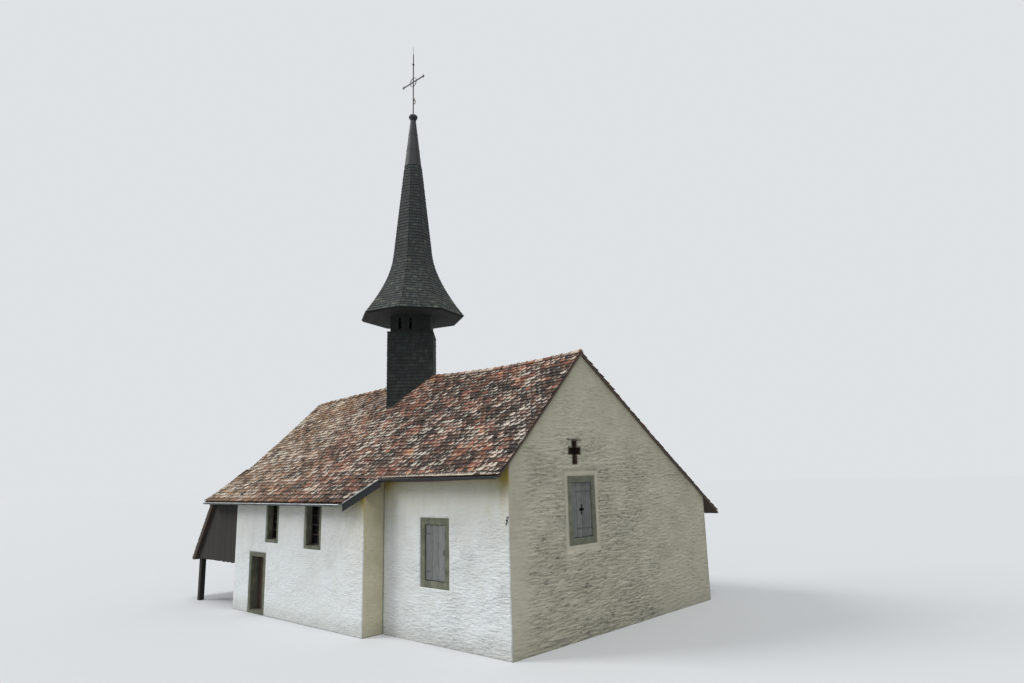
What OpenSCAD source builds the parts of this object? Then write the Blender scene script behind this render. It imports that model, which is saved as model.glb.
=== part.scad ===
// Small chapel: a limewashed rubble nave and choir under one tiled roof,
// a boarded porch at the west end and a ridge turret with a flared octagonal spire.
// Drawn in millimetres. X runs along the ridge toward the choir gable, Y runs
// from the door side to the far side, and Z = 0 is the lowest ground.

/* [Plan] */
// Length of the choir along the ridge
choir_l = 5080; // [4600:20:6000]
// Length of the nave along the ridge
nave_l = 7770; // [7500:10:9500]
// Width of the choir from its door side face to the far face
body_w = 10140; // [9700:20:11500]
// How far the nave's door side stands out from the choir's
nave_out = 710; // [500:10:800]
// Thickness of the masonry walls
wall_t = 700; // [600:10:750]
// Thickness of the stone floor
floor_t = 100; // [60:10:140]

/* [Roof] */
// How far the nave's door side wall rises over its window heads
nave_wall_up = 156; // [120:2:260]
// Distance of the ridge from the choir's door side face
ridge_y = 3220; // [2900:20:3600]
// Pitch of the door side slope
near_pitch = 44; // [42:0.5:46]
// Pitch of the far slope
far_pitch = 32; // [30:0.5:33]
// Thickness of the roof, with rafters, boards and tiles, square to its slope
roof_t = 150; // [120:10:180]
// Thickness of the tiles and their bed over the choir gable
tile_t = 60; // [45:5:80]
// Reach of the door side eaves past the walls
near_eave = 400; // [320:10:480]
// Reach of the far eave past the wall
far_eave = 1000; // [700:10:1200]
// Reach of the tiles past the choir gable
verge_out = 40; // [30:5:80]
// Reach of the west verge past the nave's west wall
verge_west = 1110; // [900:10:1300]
// How far the settled ridge falls from the turret to the west verge
ridge_fall = 390; // [200:10:450]
// How far the upper eave runs on past the choir's inner corner
jog_reach = 340; // [250:10:450]
// How far the lower eave stops short of that corner
jog_short = 520; // [400:10:650]
// Thickness of the board at the slanted eave by the corner
jog_board_t = 30; // [20:2:40]
// Radius of the half round ridge tiles
ridge_tile_r = 110; // [90:5:130]
// Depth of the middle of the ridge tiles' curve under the ridge
ridge_tile_sink = 50; // [30:5:70]
// Gap between the ridge tiles and the turret
ridge_gap = 20; // [10:5:40]
// Outer radius of the gutters
gutter_r = 62; // [50:2:75]
// Thickness of the gutters
gutter_t = 4; // [3:0.5:6]
// Depth of the gutters' rims under the top of the eaves
gutter_down = 20; // [10:2:40]
// Gap between the gutters and the board at the slanted eave
gutter_gap = 10; // [5:1:20]
// How far the lower gutters stop short of the roof's west corners
gutter_short = 150; // [80:10:200]

/* [Porch] */
// Height at which the west slope comes out from under the verge
knee_h = 4940; // [4700:20:5200]
// Pitch of the west slope over the porch
porch_pitch = 57.5; // [54:0.5:60]
// Height of the porch roof's lower edge over the ground
porch_edge_h = 1500; // [1300:20:1700]
// How far the porch roof reaches past the side boards
porch_verge = 120; // [60:10:200]
// Thickness of the porch's side boards
porch_board_t = 32; // [24:2:40]
// Height of the foot of the side boards over the porch roof's edge
porch_board_up = 60; // [20:10:120]
// Side of the porch's posts
porch_post = 180; // [140:10:220]
// Depth of the beam on the porch's posts
porch_beam_h = 200; // [160:10:240]
// Distance of the posts from the lower edge of the porch roof
porch_post_in = 300; // [240:10:400]

/* [Door] */
// Distance from the nave's west corner to the middle of the door
door_x = 1640; // [1500:10:2000]
// Clear width of the side door
door_w = 840; // [800:10:960]
// Clear height of the side door
door_h = 1770; // [1700:10:1900]
// Width of the stone surround round the door
door_stone_w = 140; // [120:5:170]
// Depth of the stone surround from the wall face
door_stone_d = 260; // [220:10:320]
// Thickness of the door leaf
leaf_t = 55; // [45:1:70]
// Gap round the door leaf
leaf_gap = 8; // [6:1:12]
// How far the plastered reveal behind the surround is wider than the doorway
door_splay = 70; // [60:5:100]
// Diameter of the pintles that the door hangs on
pintle_d = 22; // [16:1:26]
// Gap between a pintle and the eye that turns on it
eye_gap = 0.5; // [0.2:0.1:1]
// Wall of the hinge eyes
eye_wall = 8; // [6:1:10]
// Height of the hinge straps
strap_h = 60; // [45:5:80]
// Thickness of the hinge straps
strap_t = 8; // [5:1:10]
// Height of the arms that carry the pintles
pintle_arm_h = 26; // [18:1:32]
// Drop of the pintles' arms under the hinge eyes
pintle_seat = 1; // [0.5:0.5:3]
// Height of the pintles' ends over the hinge eyes
pintle_up = 8; // [4:1:14]

/* [Windows] */
// Distance from the gable to the middle of the choir window
choir_win_x = 2810; // [2600:10:3000]
// Width of the choir window over its stone frame
choir_win_w = 1170; // [1050:10:1250]
// Height of the choir window over its stone frame
choir_win_h = 1850; // [1700:10:1860]
// Height of the foot of the choir window's frame over the ground
choir_win_z = 1440; // [1300:10:1450]
// Distance from the choir's near corner to the middle of the gable window
gable_win_y = 3000; // [2800:10:3300]
// Width of the gable window over its stone frame
gable_win_w = 1260; // [1100:10:1300]
// Height of the gable window over its stone frame
gable_win_h = 1860; // [1700:10:1950]
// Height of the foot of the gable window's frame over the ground
gable_win_z = 2465; // [2350:10:2550]
// Distance from the west corner to the middle of the nave's west window
nave_win1_x = 2535; // [2500:5:2800]
// Distance from the west corner to the middle of the nave's east window
nave_win2_x = 5060; // [4800:10:5400]
// Width of the nave's west window over its stone frame
nave_win1_w = 840; // [800:10:900]
// Width of the nave's east window over its stone frame
nave_win2_w = 960; // [860:10:1000]
// Height of the foot of the west window's frame over the ground
nave_win1_z = 2365; // [2300:5:2400]
// Height of the foot of the east window's frame over the ground
nave_win2_z = 2275; // [2200:5:2400]
// Height of the heads of the nave's door side windows over the ground
nave_head_h = 3720; // [3650:10:3900]
// Height of the far side's windows over their stone frames
north_win_h = 1400; // [1200:10:1500]
// Depth of the far side's window heads under the top of the wall
north_win_down = 379; // [250:1:500]
// Width of the stone round the choir's windows
win_stone_w = 180; // [150:5:200]
// Width of the stone round the nave's windows
nave_stone_w = 110; // [90:5:130]
// Depth of the stone frames from the wall face
win_stone_d = 240; // [200:10:300]
// How far the stone frames stand out from the plaster
stone_proud = 12; // [6:1:20]
// Thickness of the plank shutters
shutter_t = 38; // [30:1:45]
// Gap round the shutters
shutter_gap = 6; // [4:1:10]
// Distance from the wall face to the shutters
shutter_in = 20; // [10:1:40]
// Height of the ledges on the backs of the shutters
ledge_h = 100; // [80:5:120]
// Thickness of those ledges
ledge_t = 30; // [20:1:40]
// Height of the hinge tongues at the shutters' edges
tongue_h = 60; // [40:5:80]
// Thickness of the hinge tongues
tongue_t = 10; // [6:1:14]
// Width of the cross cut through the gable shutter
shutter_cross_w = 230; // [180:10:260]
// Height of that cross
shutter_cross_h = 250; // [200:10:300]
// Width of its slots
shutter_cross_slot = 70; // [50:5:90]
// Distance from the wall face to the glass of the nave windows
glass_in = 200; // [160:10:230]
// Thickness of the window glass
glass_t = 6; // [4:1:8]
// Width of the wooden sash round the glass
sash_w = 45; // [35:1:60]
// Reach of the sash in front of the glass
sash_front = 25; // [15:1:35]

/* [Cross opening] */
// Distance from the choir's near corner to the middle of the cross opening
cross_y = 2740; // [2600:10:2900]
// Height of its arms over the head of the gable window
cross_over_win = 695; // [620:5:760]
// Width of the cross opening over its arms
cross_w = 540; // [460:10:600]
// Height of the cross opening
cross_h = 660; // [560:10:720]
// Height of the cross opening above the middle of its arms
cross_up = 290; // [250:10:330]
// Width of its slots
cross_slot = 205; // [160:5:230]
// Depth of the opening to the dark board behind it
cross_d = 260; // [200:10:320]
// Thickness of that board
cross_board_t = 25; // [18:1:35]
// How far the drip ledge over the cross opening stands out
ledge_out = 30; // [20:2:38]
// Reach of the drip ledge past the arms on each side
ledge_wide = 50; // [20:5:90]
// Thickness of the drip ledge
drip_t = 20; // [12:1:30]

/* [Turret] */
// Distance from the gable to the axis of the turret
turret_x = 7740; // [7400:20:8100]
// How far that axis stands to the far side of the ridge
turret_off = 5; // [4:1:20]
// Side of the square shaft, which stands with two corners at the ridge
shaft_w = 1620; // [1500:10:1700]
// Thickness of the shingled boarding of the shaft
shaft_t = 60; // [50:5:80]
// Height of the top of the shaft over the ridge
shaft_up = 1750; // [1650:10:1900]
// How far the shaft's capping board stands out
cap_out = 25; // [10:5:40]
// Height of that board
cap_h = 60; // [40:5:90]
// How far the belfry stands back from the shaft on each side
belfry_in = 80; // [70:5:110]
// Height of the belfry from the top of the shaft to the spire's rim
belfry_h = 660; // [560:10:800]
// Side of the belfry's corner posts
belfry_post = 140; // [120:5:160]
// Height of the belfry's rails
belfry_rail_h = 100; // [80:5:120]
// Thickness of the belfry's boards
belfry_board_t = 30; // [22:2:40]
// Width of the open slots between the belfry's boards
belfry_slot = 90; // [60:5:120]
// Distance of the outer slot from the middle of each side
belfry_slot_x = 390; // [340:10:420]
// Thickness of the boarded soffit under the spire
soffit_t = 40; // [30:2:60]
// How far the soffit lies in from the corners of the rim
soffit_in = 30; // [20:2:50]

/* [Spire] */
// Radius of the rim, to the corners of its octagon
rim_r = 1950; // [1800:10:2050]
// How much the rim is wider than the straight spire would be there
flare_r = 935; // [850:5:1000]
// Height of the flare above the rim
flare_h = 2390; // [2100:10:2600]
// How strongly the flare bends outward
flare_bend = 1.7; // [1.4:0.05:2.2]
// Height of the shingled spire over its rim
shingle_h = 6090; // [5700:10:6500]
// Length of the metal tip
tip_l = 2050; // [1900:10:2200]
// Radius of the metal tip at its top
tip_r = 105; // [90:5:130]
// Thickness of the spire's boarding and rafters
spire_t = 110; // [90:5:130]
// Width of the timber at the rim
rim_t = 175; // [150:5:200]
// Turn of the octagon from the ridge
spire_turn = -7.5; // [-15:0.5:0]
// How far the collar at the top of the metal tip stands out
collar_out = 20; // [10:1:30]
// Height of the collar
collar_h = 25; // [15:1:40]

/* [Cross and weathercock] */
// Radius of the ball on the tip
ball_r = 175; // [150:5:200]
// Half of the height of the ball
ball_rz = 125; // [100:5:150]
// Diameter of the iron rod
rod_d = 44; // [36:2:56]
// Height of the cross bar over the top of the metal tip
bar_up = 1680; // [1550:10:1800]
// Length of the cross bar
bar_l = 1220; // [1100:20:1400]
// Height of the cross bar's iron
bar_w = 50; // [36:2:60]
// Thickness of the flat iron of the cross
bar_t = 24; // [16:1:30]
// Radius of the three lobes at each end of the bar
lobe_r = 34; // [26:1:42]
// Inner radius of the ring round the crossing
cross_ring_r = 175; // [150:5:200]
// Width of that ring and of the scroll on the rod
ring_w = 18; // [12:1:26]
// Height of the scroll on the rod over the top of the metal tip
scroll_up = 780; // [700:10:900]
// Outer radius of the scroll's lower curl
scroll_r = 70; // [50:2:80]
// Height of the small ball over the cross bar
knob_up = 790; // [700:10:900]
// Radius of the small ball
knob_r = 45; // [38:1:55]
// Diameter of the spindle that carries the weathercock
spindle_d = 16; // [12:1:20]
// Gap between the spindle and the weathercock's socket
spindle_gap = 1; // [0.5:0.5:2]
// Gap between the spindle's top and the end of the socket's bore
spindle_end = 11; // [6:1:20]
// Height of the weathercock
cock_h = 640; // [560:10:700]
// Thickness of the weathercock's sheet
cock_t = 10; // [6:1:14]
// Turn of the weathercock at rest
cock_turn = -42; // [-90:1:90]

/* [Hidden] */
$fn = 48;
// Size of the blocks that only cut, and how far short cuts run past what they cut
far = 40000;
spare = 200;
// Joint left open between two pieces that meet on a turned or a long face
open_joint = 0.3;

body_l = choir_l + nave_l;
west_x = -body_l;
nave_y = -nave_out;
corner_x = -choir_l;
verge_x = west_x - verge_west;

// Tops of the two slopes, and planes at a depth square under them
near_rise = tan(near_pitch);
far_rise = tan(far_pitch);
nave_wall_h = nave_head_h + nave_wall_up;
ridge_h = round(nave_wall_h + roof_t / cos(near_pitch) + (ridge_y + nave_out) * near_rise);
function near_top(y, depth = 0) = ridge_h - (ridge_y - y) * near_rise - depth / cos(near_pitch);
function far_top(y, depth = 0) = ridge_h - (y - ridge_y) * far_rise - depth / cos(far_pitch);
function apex_y(depth) =
    ridge_y + depth * (1 / cos(near_pitch) - 1 / cos(far_pitch)) / (near_rise + far_rise);

choir_eave_y = -near_eave;
nave_eave_y = nave_y - near_eave;
far_eave_y = body_w + far_eave;
south_out = nave_eave_y - spare;
north_out = far_eave_y + spare;
nave_eave_h = near_top(nave_eave_y);
far_eave_h = far_top(far_eave_y);
far_wall_h = floor(far_top(body_w, roof_t));

// The west slope: its outer face at a height, its foot, and where it meets the west wall
function west_slope_x(z) = verge_x - (knee_h - z) / tan(porch_pitch);
porch_edge_x = round(west_slope_x(porch_edge_h));
west_slope_h = knee_h + verge_west * tan(porch_pitch);
porch_deep = roof_t / sin(porch_pitch);
porch_tall = roof_t / cos(porch_pitch);
post_x = porch_edge_x + porch_post_in;

turret_y = ridge_y + turret_off;

// The settled ridge: the planes that cut the slopes from the turret to the west corners
turret_ridge = [-turret_x, ridge_y, ridge_h];
verge_ridge = [verge_x, ridge_y, ridge_h - ridge_fall];
near_corner = [west_slope_x(nave_eave_h), nave_eave_y, nave_eave_h];
far_corner = [west_slope_x(far_eave_h), far_eave_y, far_eave_h];
fall_run = norm(verge_ridge - turret_ridge);
fall_angle = asin(ridge_fall / fall_run);
function upward(v) = v / norm(v) * sign(v[2]);
function fall_normal(corner) = upward(cross(verge_ridge - turret_ridge, corner - turret_ridge));

// The part's own origin is the middle of its box, on the ground
east_end = max(verge_out, ledge_out);
south_end = nave_eave_y - 2 * gutter_r;
north_end = far_eave_y + 2 * gutter_r;
shift = [-(east_end + porch_edge_x) / 2, -(south_end + north_end) / 2, 0];

jog_top = [corner_x + jog_reach, choir_eave_y];
jog_foot = [corner_x - jog_short, nave_eave_y];

door_mid = west_x + door_x;
door_half = door_w / 2;
door_outer = door_half + door_stone_w;
door_stone_top = floor_t + door_h + door_stone_w;
pier_edge = door_mid - door_outer;
south_edge = door_mid + door_outer;
leaf_w = door_w + 2 * door_splay - 2 * leaf_gap;
leaf_h = door_h + door_splay / 2;
leaf_y = nave_y + door_stone_d + leaf_gap / 2;
eye_r = pintle_d / 2 + eye_gap + eye_wall;
eye_out = 0.75 * eye_r;
hinge_x = door_mid - leaf_w / 2 - eye_out;
hinge_y = leaf_y + leaf_t + eye_out;
hinge_shares = [0.15, 0.78];
strap_share = 0.78;
west_door_y = (nave_y + body_w) / 2;

// The nave's windows: place, turn, width and height of each
far_head_h = far_wall_h - north_win_down;
north_win_z = far_head_h - north_win_h;
nave_windows = [
    [[west_x + nave_win1_x, nave_y, nave_win1_z], 0, nave_win1_w, nave_head_h - nave_win1_z],
    [[west_x + nave_win2_x, nave_y, nave_win2_z], 0, nave_win2_w, nave_head_h - nave_win2_z],
    [[west_x + nave_win1_x, body_w, north_win_z], 180, nave_win1_w, north_win_h],
    [[west_x + nave_win2_x, body_w, north_win_z], 180, nave_win2_w, north_win_h]];
// The choir's two windows in its long walls, in the same order
choir_windows = [
    [[-choir_win_x, 0, choir_win_z], 0, choir_win_w, choir_win_h],
    [[-choir_win_x, body_w, north_win_z], 180, choir_win_w, north_win_h]];
gable_windows = [[[0, gable_win_y, gable_win_z], 90, gable_win_w, gable_win_h]];
ledge_shares = [0.16, 0.84];
cross_z = gable_win_z + gable_win_h + cross_over_win;

shaft_top = ridge_h + shaft_up;
shaft_foot = ridge_h - shaft_w;
belfry_w = shaft_w - 2 * belfry_in;
rim_h = shaft_top + belfry_h;
soffit_h = rim_h - soffit_t;
tip_foot_h = rim_h + shingle_h;
tip_h = tip_foot_h + tip_l;
ball_from = -50;
ball_to = 80;
ball_mid = tip_h + collar_h - ball_rz * sin(ball_from);
ball_top = ball_mid + ball_rz * sin(ball_to);
bar_h = tip_h + bar_up;
knob_h = bar_h + knob_up;
scroll_h = tip_h + scroll_up;
cock_seat = knob_h + knob_r + 6;
cock_foot = cock_seat + 0.3;
socket_h = 0.6 * cock_h;
socket_wall = 10;
spindle_top = cock_foot + socket_h - 30;

// A profile in Y and Z, drawn out along X
module along_x(x0, x1) translate([x0, 0, 0]) rotate([90, 0, 90]) linear_extrude(x1 - x0) children();
// A profile in X and Z, drawn out along Y
module along_y(y0, y1) translate([0, y1, 0]) rotate([90, 0, 0]) linear_extrude(y1 - y0) children();
// A plain block between two corners
module block(a, b) translate(a) cube(b - a);
// Everything under the plane through a point, square to a direction
module below_plane(point, up) translate(point)
    rotate([0, acos(up[2]), atan2(up[1], up[0])]) translate([-far, -far, -2 * far]) cube(2 * far);

// Everything under the roof's top, or under a plane at a depth square to its slopes
module under_roof(depth = 0) {
    drop_near = [0, 0, depth / cos(near_pitch)];
    drop_far = [0, 0, depth / cos(far_pitch)];
    peak = apex_y(depth);
    intersection() {
        along_x(-far, far) polygon([[south_out, -1], [north_out, -1],
            [north_out, far_top(north_out, depth)], [peak, near_top(peak, depth)],
            [south_out, near_top(south_out, depth)]]);
        below_plane(turret_ridge - drop_near, fall_normal(near_corner));
        below_plane(turret_ridge - drop_far, fall_normal(far_corner));
    }
}

// Everything east of the west verge and the west slope's outer face
module east_of_verge() along_y(-far, far) polygon([[far, 0], [far, far], [verge_x, far],
    [verge_x, knee_h], [porch_edge_x, porch_edge_h], [porch_edge_x, 0]]);

module wall(x0, x1, y0, y1, depth = roof_t) intersection() {
    block([x0, y0, 0], [x1, y1, ridge_h]);
    under_roof(depth);
}

// Draws its children at each window of a list, with that window's width and height
module at_windows(windows) for (win = windows)
    translate(win[0]) rotate([0, 0, win[1]]) let ($w = win[2], $h = win[3]) children();

module window_holes(windows) at_windows(windows)
    block([-$w / 2, -spare, 0], [$w / 2, wall_t + spare, $h]);

module nave_door_pier() color("whitesmoke")
    wall(west_x, pier_edge, nave_y, nave_y + wall_t);

module nave_over_door() color("whitesmoke") difference() {
    wall(pier_edge, south_edge, nave_y, nave_y + wall_t);
    block([pier_edge - spare, nave_y - spare, -spare],
        [south_edge + spare, nave_y + door_stone_d, door_stone_top]);
    block([pier_edge - spare, nave_y, -spare],
        [south_edge + spare, nave_y + wall_t + spare, floor_t + leaf_h + leaf_gap]);
    window_holes(nave_windows);
}

module nave_south_wall() color("whitesmoke") difference() {
    wall(south_edge, corner_x - wall_t, nave_y, nave_y + wall_t);
    window_holes(nave_windows);
}

module nave_return_wall() color("antiquewhite")
    wall(corner_x - wall_t, corner_x, nave_y, wall_t);

module nave_west_wall() color("whitesmoke") difference() {
    wall(west_x, west_x + wall_t, nave_y + wall_t, body_w - wall_t);
    block([west_x - spare, west_door_y - door_outer, -spare],
        [west_x + wall_t + spare, west_door_y + door_outer, door_stone_top]);
}

module nave_north_wall() color("whitesmoke") difference() {
    wall(west_x, corner_x, body_w - wall_t, body_w);
    window_holes(nave_windows);
}

module choir_south_wall() color("whitesmoke") difference() {
    wall(corner_x, -wall_t, 0, wall_t);
    window_holes(choir_windows);
}

module choir_north_wall() color("whitesmoke") difference() {
    wall(corner_x, -wall_t, body_w - wall_t, body_w);
    window_holes(choir_windows);
}

// The upright and the arms of the cross opening
module cross_shape() {
    translate([cross_y - cross_slot / 2, cross_z + cross_up - cross_h]) square([cross_slot, cross_h]);
    translate([cross_y - cross_w / 2, cross_z - cross_slot / 2]) square([cross_w, cross_slot]);
}

// The gable runs up to the bed of the tiles
module choir_gable_wall() color("antiquewhite") difference() {
    wall(-wall_t, 0, 0, body_w, tile_t);
    window_holes(gable_windows);
    along_x(-cross_d, spare) cross_shape();
}

module stone_floor() color("gray") {
    block([west_x + wall_t, nave_y + wall_t, 0], [corner_x - wall_t, body_w - wall_t, floor_t]);
    block([corner_x - wall_t, wall_t, 0], [-wall_t, body_w - wall_t, floor_t]);
}

// A stone frame in a wall that faces -Y, with its band all round
module stone_frame(band) difference() {
    block([-$w / 2, -stone_proud, 0], [$w / 2, win_stone_d, $h]);
    block([-$w / 2 + band, -spare, band], [$w / 2 - band, win_stone_d + spare, $h - band]);
}

// A doorway's surround with its threshold
module door_stones() difference() {
    block([-door_outer, -stone_proud, 0], [door_outer, door_stone_d, door_stone_top]);
    block([-door_half, -spare, floor_t], [door_half, door_stone_d + spare, floor_t + door_h]);
}

module side_door_surround() color("darkkhaki") translate([door_mid, nave_y, 0]) {
    door_stones();
    block([-leaf_w / 2 - leaf_gap, door_stone_d, 0], [leaf_w / 2 + leaf_gap, wall_t, floor_t]);
}

module west_door_surround() color("darkkhaki")
    translate([west_x, west_door_y, 0]) rotate([0, 0, -90]) door_stones();

module nave_window_surrounds() color("darkkhaki") at_windows(nave_windows) stone_frame(nave_stone_w);

module choir_window_surrounds() color("darkkhaki") at_windows(choir_windows) stone_frame(win_stone_w);

module gable_window_surround() color("darkkhaki") at_windows(gable_windows) stone_frame(win_stone_w);

// A plank shutter on two ledges, whose hinge tongues reach the stone on one side
module plank_shutter() {
    clear_w = $w - 2 * win_stone_w - 2 * shutter_gap;
    clear_h = $h - 2 * win_stone_w - 2 * shutter_gap;
    back = shutter_in + shutter_t;
    difference() {
        translate([0, 0, win_stone_w + shutter_gap]) {
            block([-clear_w / 2, shutter_in, 0], [clear_w / 2, back, clear_h]);
            for (share = ledge_shares) translate([0, back, share * clear_h]) {
                block([-clear_w / 2, 0, -ledge_h / 2], [clear_w / 2, ledge_t, ledge_h / 2]);
                block([-clear_w / 2 - shutter_gap, tongue_t, -tongue_h / 2],
                    [-clear_w / 2, 2 * tongue_t, tongue_h / 2]);
            }
        }
        children();
    }
}

module choir_shutters() color("slategray") at_windows(choir_windows) plank_shutter();

module gable_shutter() color("lightslategray") at_windows(gable_windows) plank_shutter() {
    block([-shutter_cross_slot / 2, -spare, ($h - shutter_cross_h) / 2],
        [shutter_cross_slot / 2, spare, ($h + shutter_cross_h) / 2]);
    block([-shutter_cross_w / 2, -spare, $h / 2],
        [shutter_cross_w / 2, spare, $h / 2 + shutter_cross_slot]);
}

// A wooden sash behind a nave window's stone, with the groove that holds its glass
module sash() {
    w = $w - 2 * nave_stone_w;
    h = $h - 2 * nave_stone_w;
    translate([0, 0, nave_stone_w]) difference() {
        block([-w / 2, glass_in - sash_front, 0], [w / 2, win_stone_d, h]);
        block([-w / 2 + sash_w, -spare, sash_w], [w / 2 - sash_w, win_stone_d + spare, h - sash_w]);
        block([-w / 2 + sash_w / 2, glass_in, sash_w / 2],
            [w / 2 - sash_w / 2, glass_in + glass_t, h - sash_w / 2]);
    }
}

module nave_sashes() color("saddlebrown") at_windows(nave_windows) sash();

module nave_glass() color("lightblue") at_windows(nave_windows) {
    w = $w - 2 * nave_stone_w - sash_w;
    h = $h - 2 * nave_stone_w - sash_w;
    translate([0, 0, nave_stone_w + sash_w / 2])
        block([-w / 2, glass_in, 0], [w / 2, glass_in + glass_t, h]);
}

// The dark board behind the cross opening and the drip ledge over it
module cross_lining() color("sienna") {
    along_x(-cross_d, cross_board_t - cross_d) cross_shape();
    reach = cross_w / 2 + ledge_wide;
    top = cross_z + cross_up;
    block([0, cross_y - reach, top + drip_t / 2], [ledge_out, cross_y + reach, top + 1.5 * drip_t]);
}

module side_door() color("sienna")
    block([door_mid - leaf_w / 2, leaf_y, floor_t + leaf_gap],
        [door_mid + leaf_w / 2, leaf_y + leaf_t, floor_t + leaf_h]);

// The feet of the door's two hinge eyes, on the hinge line
module at_hinges() for (share = hinge_shares)
    translate([hinge_x, hinge_y, floor_t + share * leaf_h]) children();

module side_door_straps() color("dimgray") at_hinges() difference() {
    union() {
        cylinder(r = eye_r, h = strap_h);
        block([0, -eye_out, 0], [leaf_w * strap_share, strap_t - eye_out, strap_h]);
    }
    translate([0, 0, -1]) cylinder(d = pintle_d + 2 * eye_gap, h = strap_h + 2);
}

// Pintles: an arm from the back of the stone surround and a pin up through the eye
module side_door_pintles() color("dimgray") at_hinges() {
    arm_y = nave_y + door_stone_d - hinge_y;
    arm_top = -pintle_seat;
    block([-pintle_d / 2, arm_y, arm_top - pintle_arm_h], [pintle_d / 3, 0, arm_top]);
    translate([0, 0, arm_top - pintle_arm_h])
        cylinder(d = pintle_d, h = pintle_arm_h + pintle_seat + strap_h + pintle_up);
}

module west_door() color("sienna") translate([west_x, west_door_y, floor_t]) rotate([0, 0, -90])
    block([-door_half + leaf_gap, door_stone_d - leaf_t, 0],
        [door_half - leaf_gap, door_stone_d, door_h - leaf_gap]);

// A part of the roof over a plan outline, which thins to the tiles' bed over the gable wall
module roof_slab(outline) difference() {
    intersection() {
        under_roof();
        linear_extrude(ridge_h + spare) polygon(outline);
        east_of_verge();
    }
    under_roof(roof_t);
    intersection() {
        under_roof(tile_t);
        block([-wall_t, -far, 0], [far, far, far]);
    }
}

module nave_roof_south() color("firebrick") roof_slab([[jog_top[0], ridge_y], jog_top, jog_foot,
    [-far, nave_eave_y], [-far, ridge_y]]);

module choir_roof_south() color("firebrick") roof_slab([[jog_top[0], ridge_y], jog_top,
    [verge_out, choir_eave_y], [verge_out, ridge_y]]);

module nave_roof_north() color("firebrick") roof_slab([[jog_top[0], ridge_y],
    [jog_top[0], far_eave_y], [-far, far_eave_y], [-far, ridge_y]]);

module choir_roof_north() color("firebrick") roof_slab([[jog_top[0], ridge_y],
    [jog_top[0], far_eave_y], [verge_out, far_eave_y], [verge_out, ridge_y]]);

// The west slope between two heights, from under the main roof down
module west_slab(z0, z1, y0, y1) intersection() {
    along_y(y0, y1) polygon([[porch_edge_x, porch_edge_h], [west_x, west_slope_h],
        [west_x, west_slope_h - porch_tall], [porch_edge_x + porch_deep, porch_edge_h]]);
    under_roof(roof_t);
    block([-far, y0 - spare, z0], [west_x, y1 + spare, z1]);
}

module west_hip() color("indianred") west_slab(nave_eave_h, ridge_h, nave_eave_y, far_eave_y);

module porch_roof() color("indianred")
    west_slab(porch_edge_h, nave_eave_h, nave_y - porch_verge, body_w + porch_verge);

// A square prism on the turret's axis, with two corners at the ridge
module turret_square(w, z0, z1) translate([-turret_x, turret_y, z0]) rotate([0, 0, 45])
    translate([-w / 2, -w / 2, 0]) cube([w, w, z1 - z0]);

module ridge_round() translate([0, -ridge_tile_sink]) circle(r = ridge_tile_r);

// Ridge tiles: level over the choir, and down the settled ridge west of the turret
module ridge_cap() color("brown") difference() {
    union() {
        translate(turret_ridge) along_x(0, turret_x + verge_out) ridge_round();
        translate(turret_ridge) rotate([0, -fall_angle, 0]) along_x(-fall_run, 0) ridge_round();
    }
    under_roof();
    turret_square(shaft_w + 2 * ridge_gap, 0, far);
}

// The board that closes the slanted eave between the two gutters
module corner_board() color("dimgray") {
    dir = jog_top - jog_foot;
    difference() {
        intersection() {
            translate([jog_foot[0], jog_foot[1], 0]) rotate([0, 0, atan2(dir[1], dir[0])])
                translate([0, -jog_board_t, 0]) cube([norm(dir), jog_board_t - open_joint, ridge_h]);
            under_roof();
        }
        under_roof(roof_t);
    }
}

// A half round gutter along an eave, open to the sky
module gutter(x0, x1, y, z) along_x(x0, x1) translate([y, z]) difference() {
    circle(r = gutter_r);
    circle(r = gutter_r - gutter_t);
    translate([-far, 0]) square([2 * far, far]);
}

module nave_gutter() color("silver") gutter(near_corner[0] + gutter_short,
    jog_foot[0] - gutter_gap, nave_eave_y - gutter_r, nave_eave_h - gutter_down);

module choir_gutter() color("dimgray") gutter(jog_top[0] + jog_board_t + gutter_gap, 0,
    choir_eave_y - gutter_r, near_top(choir_eave_y) - gutter_down);

module north_gutter() color("silver") gutter(far_corner[0] + gutter_short, 0,
    far_eave_y + gutter_r, far_eave_h - gutter_down);

// Side boards of the porch, from the wall out under the west slope
module porch_boards(y0) intersection() {
    block([-far, y0, porch_edge_h + porch_board_up], [west_x, y0 + porch_board_t, ridge_h]);
    along_y(-far, far) polygon([[west_x, 0], [west_x, west_slope_h - porch_tall],
        [porch_edge_x + porch_deep, porch_edge_h], [porch_edge_x + porch_deep, 0]]);
    under_roof(roof_t);
}

module porch_south_boards() color("saddlebrown") porch_boards(nave_y);

module porch_north_boards() color("saddlebrown") porch_boards(body_w - porch_board_t);

module porch_frame() color("saddlebrown") {
    south = nave_y + porch_board_t;
    north = body_w - porch_board_t;
    for (y = [south, north - porch_post])
        block([post_x, y, 0], [post_x + porch_post, y + porch_post, porch_edge_h]);
    intersection() {
        block([post_x, south, porch_edge_h], [post_x + porch_post, north, porch_edge_h + porch_beam_h]);
        along_y(south - spare, north + spare) polygon([[west_x, 0],
            [west_x, west_slope_h - porch_tall], [porch_edge_x + porch_deep, porch_edge_h],
            [porch_edge_x + porch_deep, 0]]);
    }
}

module turret_shaft() color("darkslategray") difference() {
    union() {
        turret_square(shaft_w, shaft_foot, shaft_top);
        turret_square(shaft_w + 2 * cap_out, shaft_top - cap_h, shaft_top);
    }
    turret_square(shaft_w - 2 * shaft_t, 0, far);
    under_roof();
}

// Draws its children at one side of the belfry, with X along the side and Y into it
module on_belfry(side, z) translate([-turret_x, turret_y, z]) rotate([0, 0, 45 + side])
    translate([0, -belfry_w / 2, 0]) children();

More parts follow.
